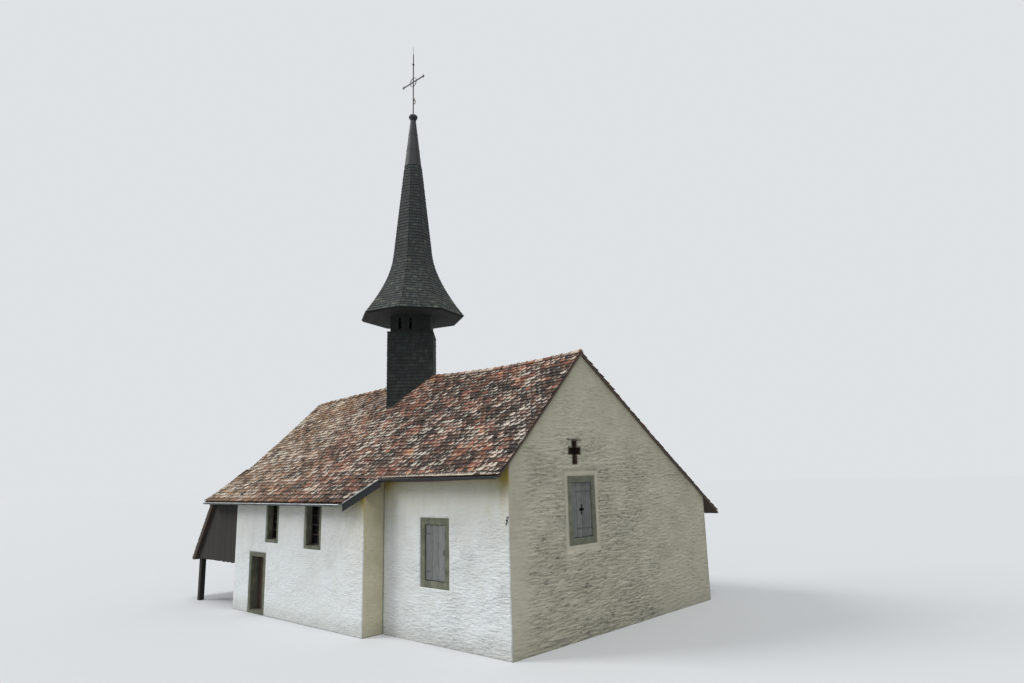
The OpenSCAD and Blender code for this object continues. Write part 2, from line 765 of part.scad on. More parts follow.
// Corner posts from the roof to the soffit, with two rails and boards on each side
module belfry_frame() color("darkolivegreen") {
    clear = belfry_w - 2 * belfry_post;
    posts_top = soffit_h - open_joint;
    boards_h = posts_top - shaft_top - 2 * belfry_rail_h;
    difference() {
        union() for (side = [0 : 90 : 270]) {
            on_belfry(side, shaft_foot) translate([clear / 2, 0, 0])
                cube([belfry_post, belfry_post, posts_top - shaft_foot]);
            for (z = [shaft_top, posts_top - belfry_rail_h]) on_belfry(side, z)
                translate([-clear / 2, 0, 0]) cube([clear, belfry_post, belfry_rail_h]);
            slots = side < 180 ? [-belfry_slot_x, 0] : [0, belfry_slot_x];
            on_belfry(side, shaft_top + belfry_rail_h) difference() {
                translate([-clear / 2, 0, 0]) cube([clear, belfry_board_t, boards_h]);
                for (x = slots) translate([x - belfry_slot / 2, -1, -1])
                    cube([belfry_slot, belfry_board_t + 2, boards_h + 2]);
            }
        }
        under_roof();
    }
}

// Radius of the spire's octagon at a height: a straight taper and a bent flare
function taper_r(z) = tip_r + (rim_r - flare_r - tip_r) * (tip_h - z) / (tip_h - rim_h);
function flare_at(z) = z > rim_h + flare_h ? 0 : pow((rim_h + flare_h - z) / flare_h, flare_bend);
function spire_r(z) = taper_r(z) + flare_r * flare_at(z);
function ring(r, z) = [for (i = [0 : 7]) [r * cos(spire_turn + 45 * i), r * sin(spire_turn + 45 * i), z]];

flare_steps = 9;
spire_z = concat([for (i = [0 : flare_steps]) rim_h + flare_h * i / flare_steps], [tip_foot_h]);

// A shell of octagons: an outer skin, an inner skin and the rim between them
module spire() color("darkslategray") translate([-turret_x, turret_y, 0]) {
    n = len(spire_z);
    outer = [for (z = spire_z) each ring(spire_r(z), z)];
    inner = [for (i = [0 : n - 1]) each ring(spire_r(spire_z[i]) - (i == 0 ? rim_t : spire_t),
        i == n - 1 ? spire_z[i] - spire_t : spire_z[i])];
    m = 8 * n;
    sides = [for (k = [0 : n - 2], i = [0 : 7]) let (j = (i + 1) % 8)
        [8 * k + i, 8 * (k + 1) + i, 8 * (k + 1) + j, 8 * k + j]];
    inner_sides = [for (k = [0 : n - 2], i = [0 : 7]) let (j = (i + 1) % 8)
        [m + 8 * k + j, m + 8 * (k + 1) + j, m + 8 * (k + 1) + i, m + 8 * k + i]];
    rim = [for (i = [0 : 7]) let (j = (i + 1) % 8) [i, j, m + j, m + i]];
    top = [[for (i = [7 : -1 : 0]) 8 * (n - 1) + i]];
    inner_top = [[for (i = [0 : 7]) m + 8 * (n - 1) + i]];
    polyhedron(concat(outer, inner), concat(sides, inner_sides, rim, top, inner_top));
}

module spire_soffit() color("peru") translate([-turret_x, turret_y, soffit_h])
    rotate([0, 0, spire_turn]) cylinder(r = rim_r - soffit_in, h = soffit_t, $fn = 8);

// The metal tip, its collar and the flattened ball, turned about one axis
module spire_tip() color("dimgray") translate([-turret_x, turret_y, 0]) rotate_extrude()
    polygon(concat([[0, tip_foot_h], [spire_r(tip_foot_h), tip_foot_h], [tip_r, tip_h],
        [tip_r + collar_out, tip_h], [tip_r + collar_out, tip_h + collar_h]],
        [for (a = [ball_from : 13 : ball_to]) [ball_r * cos(a), ball_mid + ball_rz * sin(a)]],
        [[0, ball_top]]));

// Outlines in flat iron that stand in the plane of the ridge
module flat_iron(t) translate([0, t / 2, 0]) rotate([90, 0, 0]) linear_extrude(t) children();

module iron_ring(r) difference() {
    circle(r = r);
    circle(r = r - ring_w);
}

module spire_cross() color("dimgray") translate([-turret_x, turret_y, 0]) {
    translate([0, 0, ball_top]) cylinder(d = rod_d, h = knob_h - ball_top);
    translate([0, 0, knob_h]) sphere(r = knob_r);
    translate([0, 0, knob_h]) cylinder(r = spindle_d, h = cock_seat - knob_h);
    translate([0, 0, knob_h]) cylinder(d = spindle_d, h = spindle_top - knob_h);
    translate([0, 0, bar_h]) flat_iron(bar_t) {
        translate([-bar_l / 2, -bar_w / 2]) square([bar_l, bar_w]);
        for (end = [-1, 1]) translate([end * bar_l / 2, 0]) {
            translate([end * lobe_r, 0]) circle(r = lobe_r);
            for (up = [-1, 1]) translate([0, up * lobe_r]) circle(r = lobe_r);
        }
        iron_ring(cross_ring_r + ring_w);
    }
    translate([rod_d / 2, 0, scroll_h]) flat_iron(ring_w) {
        translate([scroll_r - ring_w, 0]) iron_ring(scroll_r);
        translate([0.7 * scroll_r - ring_w, 1.6 * scroll_r]) iron_ring(0.7 * scroll_r);
    }
}

// A tail feather: a sickle on an arc, thickest in its middle
module sickle(at, r, from, to, w) {
    steps = 10;
    angles = [for (i = [0 : steps]) from + (to - from) * i / steps];
    function swell(i) = w * sin(180 * i / steps);
    polygon(concat([for (i = [0 : steps]) at + (r + swell(i)) * [cos(angles[i]), sin(angles[i])]],
        [for (i = [steps - 1 : -1 : 1]) at + (r - swell(i)) * [cos(angles[i]), sin(angles[i])]]));
}

// The cock's outline, drawn 600 high and looking along X
cock_drawn_h = 600;
module cock_outline() {
    translate([0, 230]) circle(r = 105);
    translate([70, 270]) circle(r = 80);
    polygon([[20, 320], [148, 290], [165, 510], [88, 520]]);
    translate([125, 520]) circle(r = 42);
    polygon([[155, 540], [208, 515], [155, 498]]);
    translate([147, 468]) circle(r = 20);
    for (lobe = [[96, 566], [122, 580], [148, 568]]) translate(lobe) circle(r = 20);
    sickle([-170, 215], 165, 15, 190, 22);
    sickle([-150, 205], 105, 10, 175, 20);
    sickle([-185, 260], 215, 20, 160, 24);
}

module weathercock() color("dimgray") translate([-turret_x, turret_y, cock_foot])
    rotate([0, 0, cock_turn]) difference() {
        union() {
            cylinder(d = spindle_d + 2 * socket_wall, h = socket_h);
            flat_iron(cock_t) scale(cock_h / cock_drawn_h) cock_outline();
        }
        translate([0, 0, -1]) cylinder(d = spindle_d + 2 * spindle_gap,
            h = spindle_top - cock_foot + spindle_end + 1);
    }

module place() translate(shift) children();

place() nave_door_pier();
place() nave_over_door();
place() nave_south_wall();
place() nave_return_wall();
place() nave_west_wall();
place() nave_north_wall();
place() choir_south_wall();
place() choir_gable_wall();
place() choir_north_wall();
place() stone_floor();
place() side_door_surround();
place() west_door_surround();
place() nave_window_surrounds();
place() choir_window_surrounds();
place() gable_window_surround();
place() choir_shutters();
place() gable_shutter();
place() nave_sashes();
place() nave_glass();
place() cross_lining();
place() side_door();
place() side_door_straps();
place() side_door_pintles();
place() west_door();
place() nave_roof_south();
place() choir_roof_south();
place() nave_roof_north();
place() choir_roof_north();
place() west_hip();
place() porch_roof();
place() ridge_cap();
place() corner_board();
place() nave_gutter();
place() choir_gutter();
place() north_gutter();
place() porch_south_boards();
place() porch_north_boards();
place() porch_frame();
place() belfry_frame();
place() turret_shaft();
place() spire_soffit();
place() spire();
place() spire_tip();
place() spire_cross();
place() weathercock();
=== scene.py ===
# The looks of a small limewashed chapel: its roof tiles, shingles, stones, boards and ironwork.
#
# Lengths are in metres. A place is (x, y, z) from the foot of the choir's near corner: x runs from
# the gable's face along the ridge, with the west end at negative x, y runs from the choir's door
# side face to the far side, and z is the height over the lowest ground.
import math

import bpy
import numpy as np
from mathutils import Matrix, Vector


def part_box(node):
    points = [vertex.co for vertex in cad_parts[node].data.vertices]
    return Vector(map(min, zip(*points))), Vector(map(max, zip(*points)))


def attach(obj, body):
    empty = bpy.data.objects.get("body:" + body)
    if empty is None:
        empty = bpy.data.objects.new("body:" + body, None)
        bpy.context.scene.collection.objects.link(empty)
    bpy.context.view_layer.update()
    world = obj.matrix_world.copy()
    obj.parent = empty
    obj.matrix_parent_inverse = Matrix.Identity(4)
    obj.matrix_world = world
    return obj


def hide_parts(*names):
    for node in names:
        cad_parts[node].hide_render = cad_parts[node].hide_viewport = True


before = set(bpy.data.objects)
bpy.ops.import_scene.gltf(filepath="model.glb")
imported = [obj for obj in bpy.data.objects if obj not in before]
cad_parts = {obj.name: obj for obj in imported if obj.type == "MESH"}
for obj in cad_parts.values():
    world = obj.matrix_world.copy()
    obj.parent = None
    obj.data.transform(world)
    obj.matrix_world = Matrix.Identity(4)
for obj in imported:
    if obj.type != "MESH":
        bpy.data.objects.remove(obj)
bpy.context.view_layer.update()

MM = 0.001
UP = Vector((0, 0, 1))
ORIGIN = Vector((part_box("choir_gable_wall")[1].x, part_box("choir_south_wall")[0].y, 0))


def low(node):
    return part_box(node)[0] - ORIGIN


def high(node):
    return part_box(node)[1] - ORIGIN


def corners(node):
    """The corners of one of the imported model's nodes, from the chapel's own corner."""
    return np.array([v.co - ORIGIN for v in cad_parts[node].data.vertices])


def solids(node):
    """The corners of each separate solid of a node, in order along x and then y."""
    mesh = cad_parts[node].data
    keys = [tuple(round(c, 4) for c in v.co) for v in mesh.vertices]
    group = {key: {key} for key in keys}
    for polygon in mesh.polygons:
        joined = set().union(*(group[keys[i]] for i in polygon.vertices))
        group.update(dict.fromkeys(joined, joined))
    parts = [np.array([Vector(key) - ORIGIN for key in sorted(part)])
             for part in {id(part): part for part in group.values()}.values()]
    return sorted(parts, key=lambda part: (round(part[:, 0].mean(), 2), part[:, 1].mean()))


def levels(points, axis):
    """The different coordinates that a solid's corners have along one axis."""
    return sorted(set(round(float(value), 3) for value in points[:, axis]))


def steepness(node):
    """The angle of the node's largest face that looks up, in radians."""
    faces = [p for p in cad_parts[node].data.polygons if p.normal.z > 0.1]
    return math.acos(max(faces, key=lambda face: face.area).normal.z)


def clamp(value, least=0, most=1):
    return min(most, max(least, value))


# The building's main lines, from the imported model
CORNER_X = low("choir_south_wall").x
WEST_X = low("nave_north_wall").x
NAVE_Y = low("nave_south_wall").y
FAR_Y = high("choir_north_wall").y
RIDGE_Y = high("choir_roof_south").y
RIDGE_Z = high("choir_roof_south").z
VERGE_OUT = high("choir_roof_south").x
NAVE_EAVE_Y = low("nave_roof_south").y
CHOIR_EAVE_Y = low("choir_roof_south").y
FAR_EAVE_Y = high("choir_roof_north").y
JOG_TOP_X = low("choir_roof_south").x
JOG_FOOT_X = low("corner_board").x
NEAR_PITCH = steepness("choir_roof_south")
FAR_PITCH = steepness("choir_roof_north")
PORCH_PITCH = steepness("porch_roof")
PORCH_EDGE_X = low("porch_roof").x
PORCH_EDGE_Z = low("porch_roof").z
PORCH_Y = (low("porch_roof").y, high("porch_roof").y)
VERGE_X = min(p[0] for p in corners("nave_roof_south") if p[1] > RIDGE_Y - MM)
KNEE_Z = PORCH_EDGE_Z + (VERGE_X - PORCH_EDGE_X) * math.tan(PORCH_PITCH)
TURRET = (low("spire_tip") + high("spire_tip")) / 2
SHAFT_TOP = high("turret_shaft").z
RIM_Z = low("spire").z
EIGHTH = math.pi / 4


def near_z(y):
    return RIDGE_Z - (RIDGE_Y - y) * math.tan(NEAR_PITCH)


def far_z(y):
    return RIDGE_Z - (y - RIDGE_Y) * math.tan(FAR_PITCH)


def west_slope_x(z):
    return PORCH_EDGE_X + (z - PORCH_EDGE_Z) / math.tan(PORCH_PITCH)


def about_turret(radius, turn, z):
    """The point at this distance and turn about the turret's axis."""
    return Vector((TURRET.x + radius * math.cos(turn), TURRET.y + radius * math.sin(turn), z))


NAVE_EAVE_Z = near_z(NAVE_EAVE_Y)
FAR_EAVE_Z = far_z(FAR_EAVE_Y)

# Camera: the photograph's station, turn and field of view
CAMERA_PLACE = Vector((11.881, -12.819, 4.355))
CAMERA_YAW = math.radians(42.27)
CAMERA_PITCH = math.radians(11.18)
CAMERA_ROLL = math.radians(-1.45)
CAMERA_LENS = 24.01
CAMERA_SENSOR = 36
CAMERA_SIGHT = 1000


def show(name, data):
    """Puts a new object in the scene."""
    made = bpy.data.objects.new(name, data)
    bpy.context.scene.collection.objects.link(made)
    return made


def make_camera():
    forward = Vector((-math.sin(CAMERA_YAW) * math.cos(CAMERA_PITCH),
                      math.cos(CAMERA_YAW) * math.cos(CAMERA_PITCH), math.sin(CAMERA_PITCH)))
    level_right = forward.cross(UP).normalized()
    level_up = level_right.cross(forward)
    right = math.cos(CAMERA_ROLL) * level_right + math.sin(CAMERA_ROLL) * level_up
    up = math.cos(CAMERA_ROLL) * level_up - math.sin(CAMERA_ROLL) * level_right
    turn = Matrix((right, up, -forward)).transposed().to_4x4()
    camera = show("camera", bpy.data.cameras.new("camera"))
    camera.matrix_world = Matrix.Translation(ORIGIN + CAMERA_PLACE) @ turn
    camera.data.lens = CAMERA_LENS
    camera.data.sensor_width = CAMERA_SENSOR
    camera.data.clip_end = CAMERA_SIGHT
    bpy.context.scene.camera = camera


def linear(code):
    """An sRGB colour such as "#c8c8c0" as the linear colour that the shaders take."""
    channels = [int(code[i:i + 2], 16) / 255 for i in (1, 3, 5)]
    return [c / 12.92 if c <= 0.04045 else ((c + 0.055) / 1.055) ** 2.4 for c in channels] + [1]


def add(tree, kind, inputs=None, out=0, stops=(), **settings):
    """Adds a node with its settings and a ramp's stops. An input takes a value, or the output that
    feeds it. Gives the node's own output, the first one if out doesn't say which."""
    node = tree.nodes.new(kind)
    for name, value in settings.items():
        setattr(node, name, value)
    if stops:
        ramp = node.color_ramp.elements
        while len(ramp) < len(stops):
            ramp.new(0.5)
        for element, (place, code) in zip(ramp, stops):
            element.position = place
            element.color = linear(code)
    for key, value in (inputs or {}).items():
        if isinstance(value, bpy.types.NodeSocket):
            tree.links.new(value, node.inputs[key])
        else:
            node.inputs[key].default_value = value
    return node.outputs[out] if node.outputs else None


# The mix node that blends two colours: its inputs, and its setting and output
FACTOR, COLOUR_A, COLOUR_B = 0, 6, 7
BLEND = {"data_type": "RGBA", "out": 2}


def per(size_mm):
    """A texture scale that gives features of this size."""
    return 1000 / size_mm


def new_material(name):
    made = bpy.data.materials.new(name)
    made.use_nodes = True
    made.node_tree.nodes.clear()
    return made, made.node_tree


def finish_material(made, colour, roughness, pattern=None, relief_mm=0.0, **shader):
    """The surface itself: a colour, a roughness, and a bump as high as relief_mm."""
    inputs = {"Base Color": colour, "Roughness": roughness}
    if pattern is not None:
        inputs["Normal"] = add(made.node_tree, "ShaderNodeBump", {
            "Height": pattern, "Distance": relief_mm * MM, "Strength": 1.0})
    inputs.update({key.replace("_", " "): value for key, value in shader.items()})
    surface = add(made.node_tree, "ShaderNodeBsdfPrincipled", inputs)
    add(made.node_tree, "ShaderNodeOutputMaterial", {"Surface": surface})
    return made


def limewash(name, wash, aged, stain, stone_mm, relief_mm, crease_darkening):
    """Limewash brushed on rubble. Many thin chalky coats round the stones off and stay dead matt;
    damp leaves olive streaks under the roof, and the creases of the bare places are darkened,
    partly by grime and partly as painted shade."""
    made, tree = new_material(name)
    place = add(tree, "ShaderNodeTexCoord", out="Object")
    clouds = add(tree, "ShaderNodeTexNoise", {
        "Vector": place, "Scale": per(600), "Detail": 4.0, "Roughness": 0.6})
    patches = add(tree, "ShaderNodeMapRange", {"Value": clouds, "From Min": 0.36, "From Max": 0.68})
    coat = add(tree, "ShaderNodeMix", {
        FACTOR: patches, COLOUR_A: linear(wash), COLOUR_B: linear(aged)}, **BLEND)
    damp = add(tree, "ShaderNodeAttribute", out="Fac", attribute_name="shade")
    drawn = add(tree, "ShaderNodeMapping", {"Vector": place, "Scale": (1, 1, 0.15)})
    streaks = add(tree, "ShaderNodeTexNoise", {
        "Vector": drawn, "Scale": per(110), "Detail": 5.0, "Roughness": 0.65})
    wet = add(tree, "ShaderNodeMath", {0: streaks, 1: 0.4, 2: -0.2},
              operation="MULTIPLY_ADD", use_clamp=True)
    soaked = add(tree, "ShaderNodeMath", {0: damp, 1: wet}, operation="ADD", use_clamp=True)
    streaked = add(tree, "ShaderNodeMix", {
        FACTOR: soaked, COLOUR_A: coat, COLOUR_B: linear(stain)}, **BLEND)
    height = add(tree, "ShaderNodeSeparateXYZ", {0: place}, "Z")
    edge = add(tree, "ShaderNodeMath", {0: clouds, 1: 0.9, 2: height}, operation="MULTIPLY_ADD")
    splash = add(tree, "ShaderNodeMapRange", {
        "Value": edge, "From Min": 0.45, "From Max": 0.95, "To Min": 0.4, "To Max": 0.0})
    soiled = add(tree, "ShaderNodeMix", {
        FACTOR: splash, COLOUR_A: streaked, COLOUR_B: linear("#868577")}, **BLEND)
    bare = add(tree, "ShaderNodeAttribute", out="Fac", attribute_name="growth")
    laid = add(tree, "ShaderNodeMapping", {"Vector": place, "Scale": (1, 1, 4)})
    lumps = add(tree, "ShaderNodeTexNoise", {
        "Vector": laid, "Scale": per(stone_mm), "Detail": 3.0, "Roughness": 0.55})
    rough = add(tree, "ShaderNodeMath", {0: lumps, 1: bare}, operation="MULTIPLY")
    # Creases of the relief are darkened: partly grime, partly painted shade in the hollows
    crease_shade_and_grime_mask = add(tree, "ShaderNodeMapRange", {
        "Value": lumps, "From Min": 0.43, "From Max": 0.33, "To Max": crease_darkening})
    crease_shade_and_grime = add(tree, "ShaderNodeMath", {0: crease_shade_and_grime_mask, 1: bare}, operation="MULTIPLY", use_clamp=True)
    creases = add(tree, "ShaderNodeMix", {
        FACTOR: crease_shade_and_grime, COLOUR_A: soiled, COLOUR_B: linear("#5d594b")}, **BLEND)
    return finish_material(made, creases, 0.93, rough, relief_mm)


def dressed_sandstone():
    """Olive grey sandstone, sawn and rubbed. Its grain shows as fine speckle, drawn coarser than it
    is so that it shows, and weather has darkened it in patches; it stays matt."""
    made, tree = new_material("dressed_sandstone")
    place = add(tree, "ShaderNodeTexCoord", out="Object")
    blotch = add(tree, "ShaderNodeTexNoise", {
        "Vector": place, "Scale": per(260), "Detail": 5.0, "Roughness": 0.6})
    stone = add(tree, "ShaderNodeValToRGB", {0: blotch}, stops=[
        (0.3, "#4b4d42"), (0.5, "#5f6151"), (0.68, "#717261"), (0.85, "#84826f")])
    shade = add(tree, "ShaderNodeAttribute", out="Fac", attribute_name="shade")
    tone = add(tree, "ShaderNodeMapRange", {"Value": shade, "To Min": 0.82, "To Max": 1.14})
    grain = add(tree, "ShaderNodeTexNoise", {
        "Vector": place, "Scale": per(7), "Detail": 3.0, "Roughness": 0.7})
    speck = add(tree, "ShaderNodeMapRange", {"Value": grain, "To Min": 0.78, "To Max": 1.2})
    both = add(tree, "ShaderNodeMath", {0: tone, 1: speck}, operation="MULTIPLY")
    colour = add(tree, "ShaderNodeVectorMath", {0: stone, "Scale": both}, operation="SCALE")
    return finish_material(made, colour, 0.88, grain, 1.5)


def fired_clay():
    """Hand-made plain tiles of fired clay. Each came from the kiln in its own tone, red toward the
    gable and tan toward the west; soot has blackened many, and lichen sits on them in pale grey
    crusts with a dead matt face. The pale flecks on the tails are partly lichen and partly a
    painted highlight: a pale colour mixed with the clay's own."""
    made, tree = new_material("fired_clay")
    place = add(tree, "ShaderNodeTexCoord", out="Object")
    shade = add(tree, "ShaderNodeAttribute", out="Fac", attribute_name="shade")
    stages = (0.0, 0.2, 0.36, 0.5, 0.64, 0.8, 1.0)
    red, tan = [add(tree, "ShaderNodeValToRGB", {0: shade}, stops=list(zip(stages, codes.split())))
                for codes in ("#150d08 #2a1b11 #442d1f #5f4030 #7f4a38 #96644b #aa8862",
                              "#17110a #2d2115 #493822 #665039 #80644a #977a5b #ac9270")]
    along = add(tree, "ShaderNodeSeparateXYZ", {"Vector": place}, "X")
    westward = add(tree, "ShaderNodeMapRange", {
        "Value": along, "From Min": 1.5, "From Max": -4.5, "To Max": 0.85})
    clay = add(tree, "ShaderNodeMix", {FACTOR: westward, COLOUR_A: red, COLOUR_B: tan}, **BLEND)
    soot = add(tree, "ShaderNodeTexNoise", {
        "Vector": place, "Scale": per(55), "Detail": 5.0, "Roughness": 0.7})
    darken = add(tree, "ShaderNodeMapRange", {
        "Value": soot, "From Min": 0.3, "From Max": 0.7, "To Min": 0.5, "To Max": 1.25})
    body = add(tree, "ShaderNodeVectorMath", {0: clay, "Scale": darken}, operation="SCALE")
    growth = add(tree, "ShaderNodeAttribute", out="Fac", attribute_name="growth")
    crust = add(tree, "ShaderNodeTexNoise", {
        "Vector": place, "Scale": per(38), "Detail": 4.0, "Roughness": 0.6})
    grown = add(tree, "ShaderNodeMath", {0: growth, 1: 0.52, 2: crust}, operation="MULTIPLY_ADD")
    lichen = add(tree, "ShaderNodeMapRange", {
        "Value": grown, "From Min": 0.75, "From Max": 0.86, "To Max": 0.92})
    # Lichen and painted highlight: a pale colour mixed with the clay's own
    lichen_and_highlight = add(tree, "ShaderNodeMix", {
        FACTOR: 0.3, COLOUR_A: linear("#dbd1c1"), COLOUR_B: clay}, **BLEND)
    crusts = add(tree, "ShaderNodeMix", {FACTOR: lichen, COLOUR_A: body, COLOUR_B: lichen_and_highlight}, **BLEND)
    return finish_material(made, crusts, 0.86, soot, 4)


def timber(name, dark, mid, light, grain_mm, roughness, along):
    """Boards whose grain runs along one axis. Weather has opened the soft rings, so the grain is
    a fine relief with dark lines, drawn coarser than it is so that it shows, and each board has
    its own tone."""
    made, tree = new_material(name)
    place = add(tree, "ShaderNodeTexCoord", out="Object")
    stretch = [1.0, 1.0, 1.0]
    stretch[along] = 0.06
    drawn = add(tree, "ShaderNodeMapping", {"Vector": place, "Scale": stretch})
    rings = add(tree, "ShaderNodeTexNoise", {
        "Vector": drawn, "Scale": per(grain_mm), "Detail": 5.0, "Roughness": 0.6,
        "Distortion": 0.4})
    shade = add(tree, "ShaderNodeAttribute", out="Fac", attribute_name="shade")
    value = add(tree, "ShaderNodeMath", {0: shade, 1: 0.3, 2: rings}, operation="MULTIPLY_ADD")
    wood = add(tree, "ShaderNodeValToRGB", {0: value},
               stops=[(0.42, dark), (0.64, mid), (0.9, light)])
    return finish_material(made, wood, roughness, rings, 1.5)


def weathered_shingle():
    """Split larch shingles, blackened by weather. Their upright grain is drawn coarser than it is,
    so that it shows, and lichen speckles them; the surface is dry and matt."""
    made, tree = new_material("weathered_shingle")
    place = add(tree, "ShaderNodeTexCoord", out="Object")
    drawn = add(tree, "ShaderNodeMapping", {"Vector": place, "Scale": (1, 1, 0.12)})
    grain = add(tree, "ShaderNodeTexNoise", {
        "Vector": drawn, "Scale": per(16), "Detail": 4.0, "Roughness": 0.65})
    shade = add(tree, "ShaderNodeAttribute", out="Fac", attribute_name="shade")
    value = add(tree, "ShaderNodeMath", {0: shade, 1: 0.5, 2: grain}, operation="MULTIPLY_ADD")
    wood = add(tree, "ShaderNodeValToRGB", {0: value}, stops=[
        (0.35, "#080c0b"), (0.6, "#111715"), (0.85, "#1d2523"), (1.0, "#353e3a")])
    growth = add(tree, "ShaderNodeAttribute", out="Fac", attribute_name="growth")
    spots = add(tree, "ShaderNodeTexNoise", {
        "Vector": place, "Scale": per(45), "Detail": 4.0, "Roughness": 0.6})
    grown = add(tree, "ShaderNodeMath", {0: growth, 1: 0.5, 2: spots}, operation="MULTIPLY_ADD")
    lichen = add(tree, "ShaderNodeMapRange", {
        "Value": grown, "From Min": 0.82, "From Max": 0.98, "To Max": 0.7})
    colour = add(tree, "ShaderNodeMix", {
        FACTOR: lichen, COLOUR_A: wood, COLOUR_B: linear("#5d6355")}, **BLEND)
    return finish_material(made, colour, 0.78, grain, 2)


def mottled(name, size_mm, detail, broken, stops, roughness, relief_mm, gloss_range=None, **shader):
    """A surface whose colour and fine relief both follow one pattern of this size. Its roughness
    follows too, from the first to the second step of gloss_range about its value."""
    made, tree = new_material(name)
    place = add(tree, "ShaderNodeTexCoord", out="Object")
    pattern = add(tree, "ShaderNodeTexNoise", {
        "Vector": place, "Scale": per(size_mm), "Detail": detail, "Roughness": broken})
    colour = add(tree, "ShaderNodeValToRGB", {0: pattern}, stops=stops)
    if gloss_range:
        roughness = add(tree, "ShaderNodeMapRange", {
            "Value": pattern, "To Min": roughness + gloss_range[0],
            "To Max": roughness + gloss_range[1]})
    return finish_material(made, colour, roughness, pattern, relief_mm, **shader)


def sheet_metal(name, bright, dull, metallic, roughness):
    """Rolled sheet, soldered and left to the weather: a dull skin with darker cloudy patches and
    a soft, broken gloss."""
    return mottled(name, 90, 5.0, 0.6, [(0.35, dull), (0.68, bright)], roughness, 1, (-0.12, 0.15),
                   Metallic=metallic)


def drawn_glass():
    """Old drawn window glass: clear with a grey green body and slow waves that bend reflections."""
    made, tree = new_material("drawn_glass")
    place = add(tree, "ShaderNodeTexCoord", out="Object")
    waves = add(tree, "ShaderNodeTexNoise", {"Vector": place, "Scale": per(180), "Detail": 1.0})
    return finish_material(made, linear("#7d8a86"), 0.04, waves, 3,
                           Transmission_Weight=1.0, IOR=1.5)


FLOOR_HALF = 300
# Each light: its direction, its strength and the angle that it spreads over
LIGHTS = {"key_light": (Vector((-0.62, -0.58, 0.58)), 2.0, math.radians(26)),
          "top_light": (Vector((0.30, -0.20, 0.93)), 1.7, math.radians(24))}
WORLD_STRENGTH = 0.52


def make_studio():
    """A pale floor and backdrop, a broad soft light from the left, one from above, and a fill."""
    mesh = bpy.data.meshes.new("studio_floor")
    s = FLOOR_HALF
    mesh.from_pydata([(-s, -s, 0), (s, -s, 0), (s, s, 0), (-s, s, 0)], [], [(0, 1, 2, 3)])
    mesh.materials.append(finish_material(new_material("studio_floor")[0], linear("#bfc1c2"), 0.95))
    floor = show("studio_floor", mesh)
    for name, (direction, strength, spread) in LIGHTS.items():
        light = show(name, bpy.data.lights.new(name, "SUN"))
        light.data.energy = strength
        light.data.angle = spread
        light.rotation_mode = "QUATERNION"
        light.rotation_quaternion = direction.to_track_quat("Z", "Y")
    world = bpy.data.worlds.new("studio")
    bpy.context.scene.world = world
    world.use_nodes = True
    tree = world.node_tree
    tree.nodes.clear()
    rays = add(tree, "ShaderNodeLightPath").node.outputs
    seen = add(tree, "ShaderNodeMath", {0: rays["Is Camera Ray"], 1: rays["Is Glossy Ray"]},
               operation="MAXIMUM")
    shown = add(tree, "ShaderNodeMath", {0: seen, 1: rays["Is Transmission Ray"]},
                operation="MAXIMUM")
    fill = add(tree, "ShaderNodeBackground", {
        "Color": linear("#f4f7fb"), "Strength": WORLD_STRENGTH})
    backdrop = add(tree, "ShaderNodeBackground", {"Color": linear("#dfe2e5"), "Strength": 1.0})
    mixed = add(tree, "ShaderNodeMixShader", {0: shown, 1: fill, 2: backdrop})
    add(tree, "ShaderNodeOutputWorld", {"Surface": mixed})
    bpy.context.scene.view_settings.view_transform = "Standard"


class Heap:
    """Solids gathered into one mesh. Each carries two numbers for its material: shade, its own
    tone, and growth, how much lichen or grime it holds. On the tiles both also carry painted
    light and shade."""

    def __init__(self):
        self.points, self.faces, self.shade, self.growth = [], [], [], []

    def put(self, solid, shade=0.5, growth=0.0):
        points, faces = solid
        first = len(self.points)
        self.points.extend(points)
        self.faces.extend([tuple(first + i for i in face) for face in faces])
        for store, value in ((self.shade, shade), (self.growth, growth)):
            store.extend(value if hasattr(value, "__len__") else [value] * len(points))


def piece(name, heap, surface, stands_for=(), body="chapel", smooth=False):
    """Makes a heap into one of the chapel's pieces, on the body that carries it."""
    mesh = bpy.data.meshes.new(name)
    mesh.from_pydata([tuple(Vector(p) + ORIGIN) for p in heap.points], [], heap.faces)
    for attribute, values in (("shade", heap.shade), ("growth", heap.growth)):
        mesh.attributes.new(attribute, "FLOAT", "POINT").data.foreach_set("value", values)
    mesh.polygons.foreach_set("use_smooth", [smooth] * len(mesh.polygons))
    mesh.materials.append(surface)
    mesh.update()
    made = show(name, mesh)
    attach(made, body)
    if stands_for:
        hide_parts(*stands_for)


def finish_nodes(surface, *nodes):
    """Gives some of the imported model's own nodes their material."""
    for node in nodes:
        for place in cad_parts[node].material_slots:
            place.material = surface


def lattice(column, row, seed):
    """A steady random number from 0 to 1 for each cell of a grid."""
    mixed = (np.asarray(column, np.int64) * 374761393 + np.asarray(row, np.int64) * 668265263
             + seed * 362437) & 0xFFFFFFFF
    mixed = ((mixed ^ (mixed >> 13)) * 1274126177) & 0xFFFFFFFF
    return ((mixed ^ (mixed >> 16)) & 0xFFFF) / 65535


def ease(t):
    return t * t * (3 - 2 * t)


def noise(x, y, seed):
    """Smooth noise from 0 to 1, with features about one unit wide."""
    x, y = np.asarray(x, float), np.asarray(y, float)
    column, row = np.floor(x), np.floor(y)
    across, up = ease(x - column), ease(y - row)
    below, above = [lattice(column, line, seed) * (1 - across)
                    + lattice(column + 1, line, seed) * across for line in (row, row + 1)]
    return below * (1 - up) + above * up


BOX_FACES = [(0, 3, 2, 1), (4, 5, 6, 7), (0, 1, 5, 4), (1, 2, 6, 5), (2, 3, 7, 6), (3, 0, 4, 7)]


def slab(bottom, top):
    """A solid between two outlines of four points each."""
    return [*bottom, *top], BOX_FACES


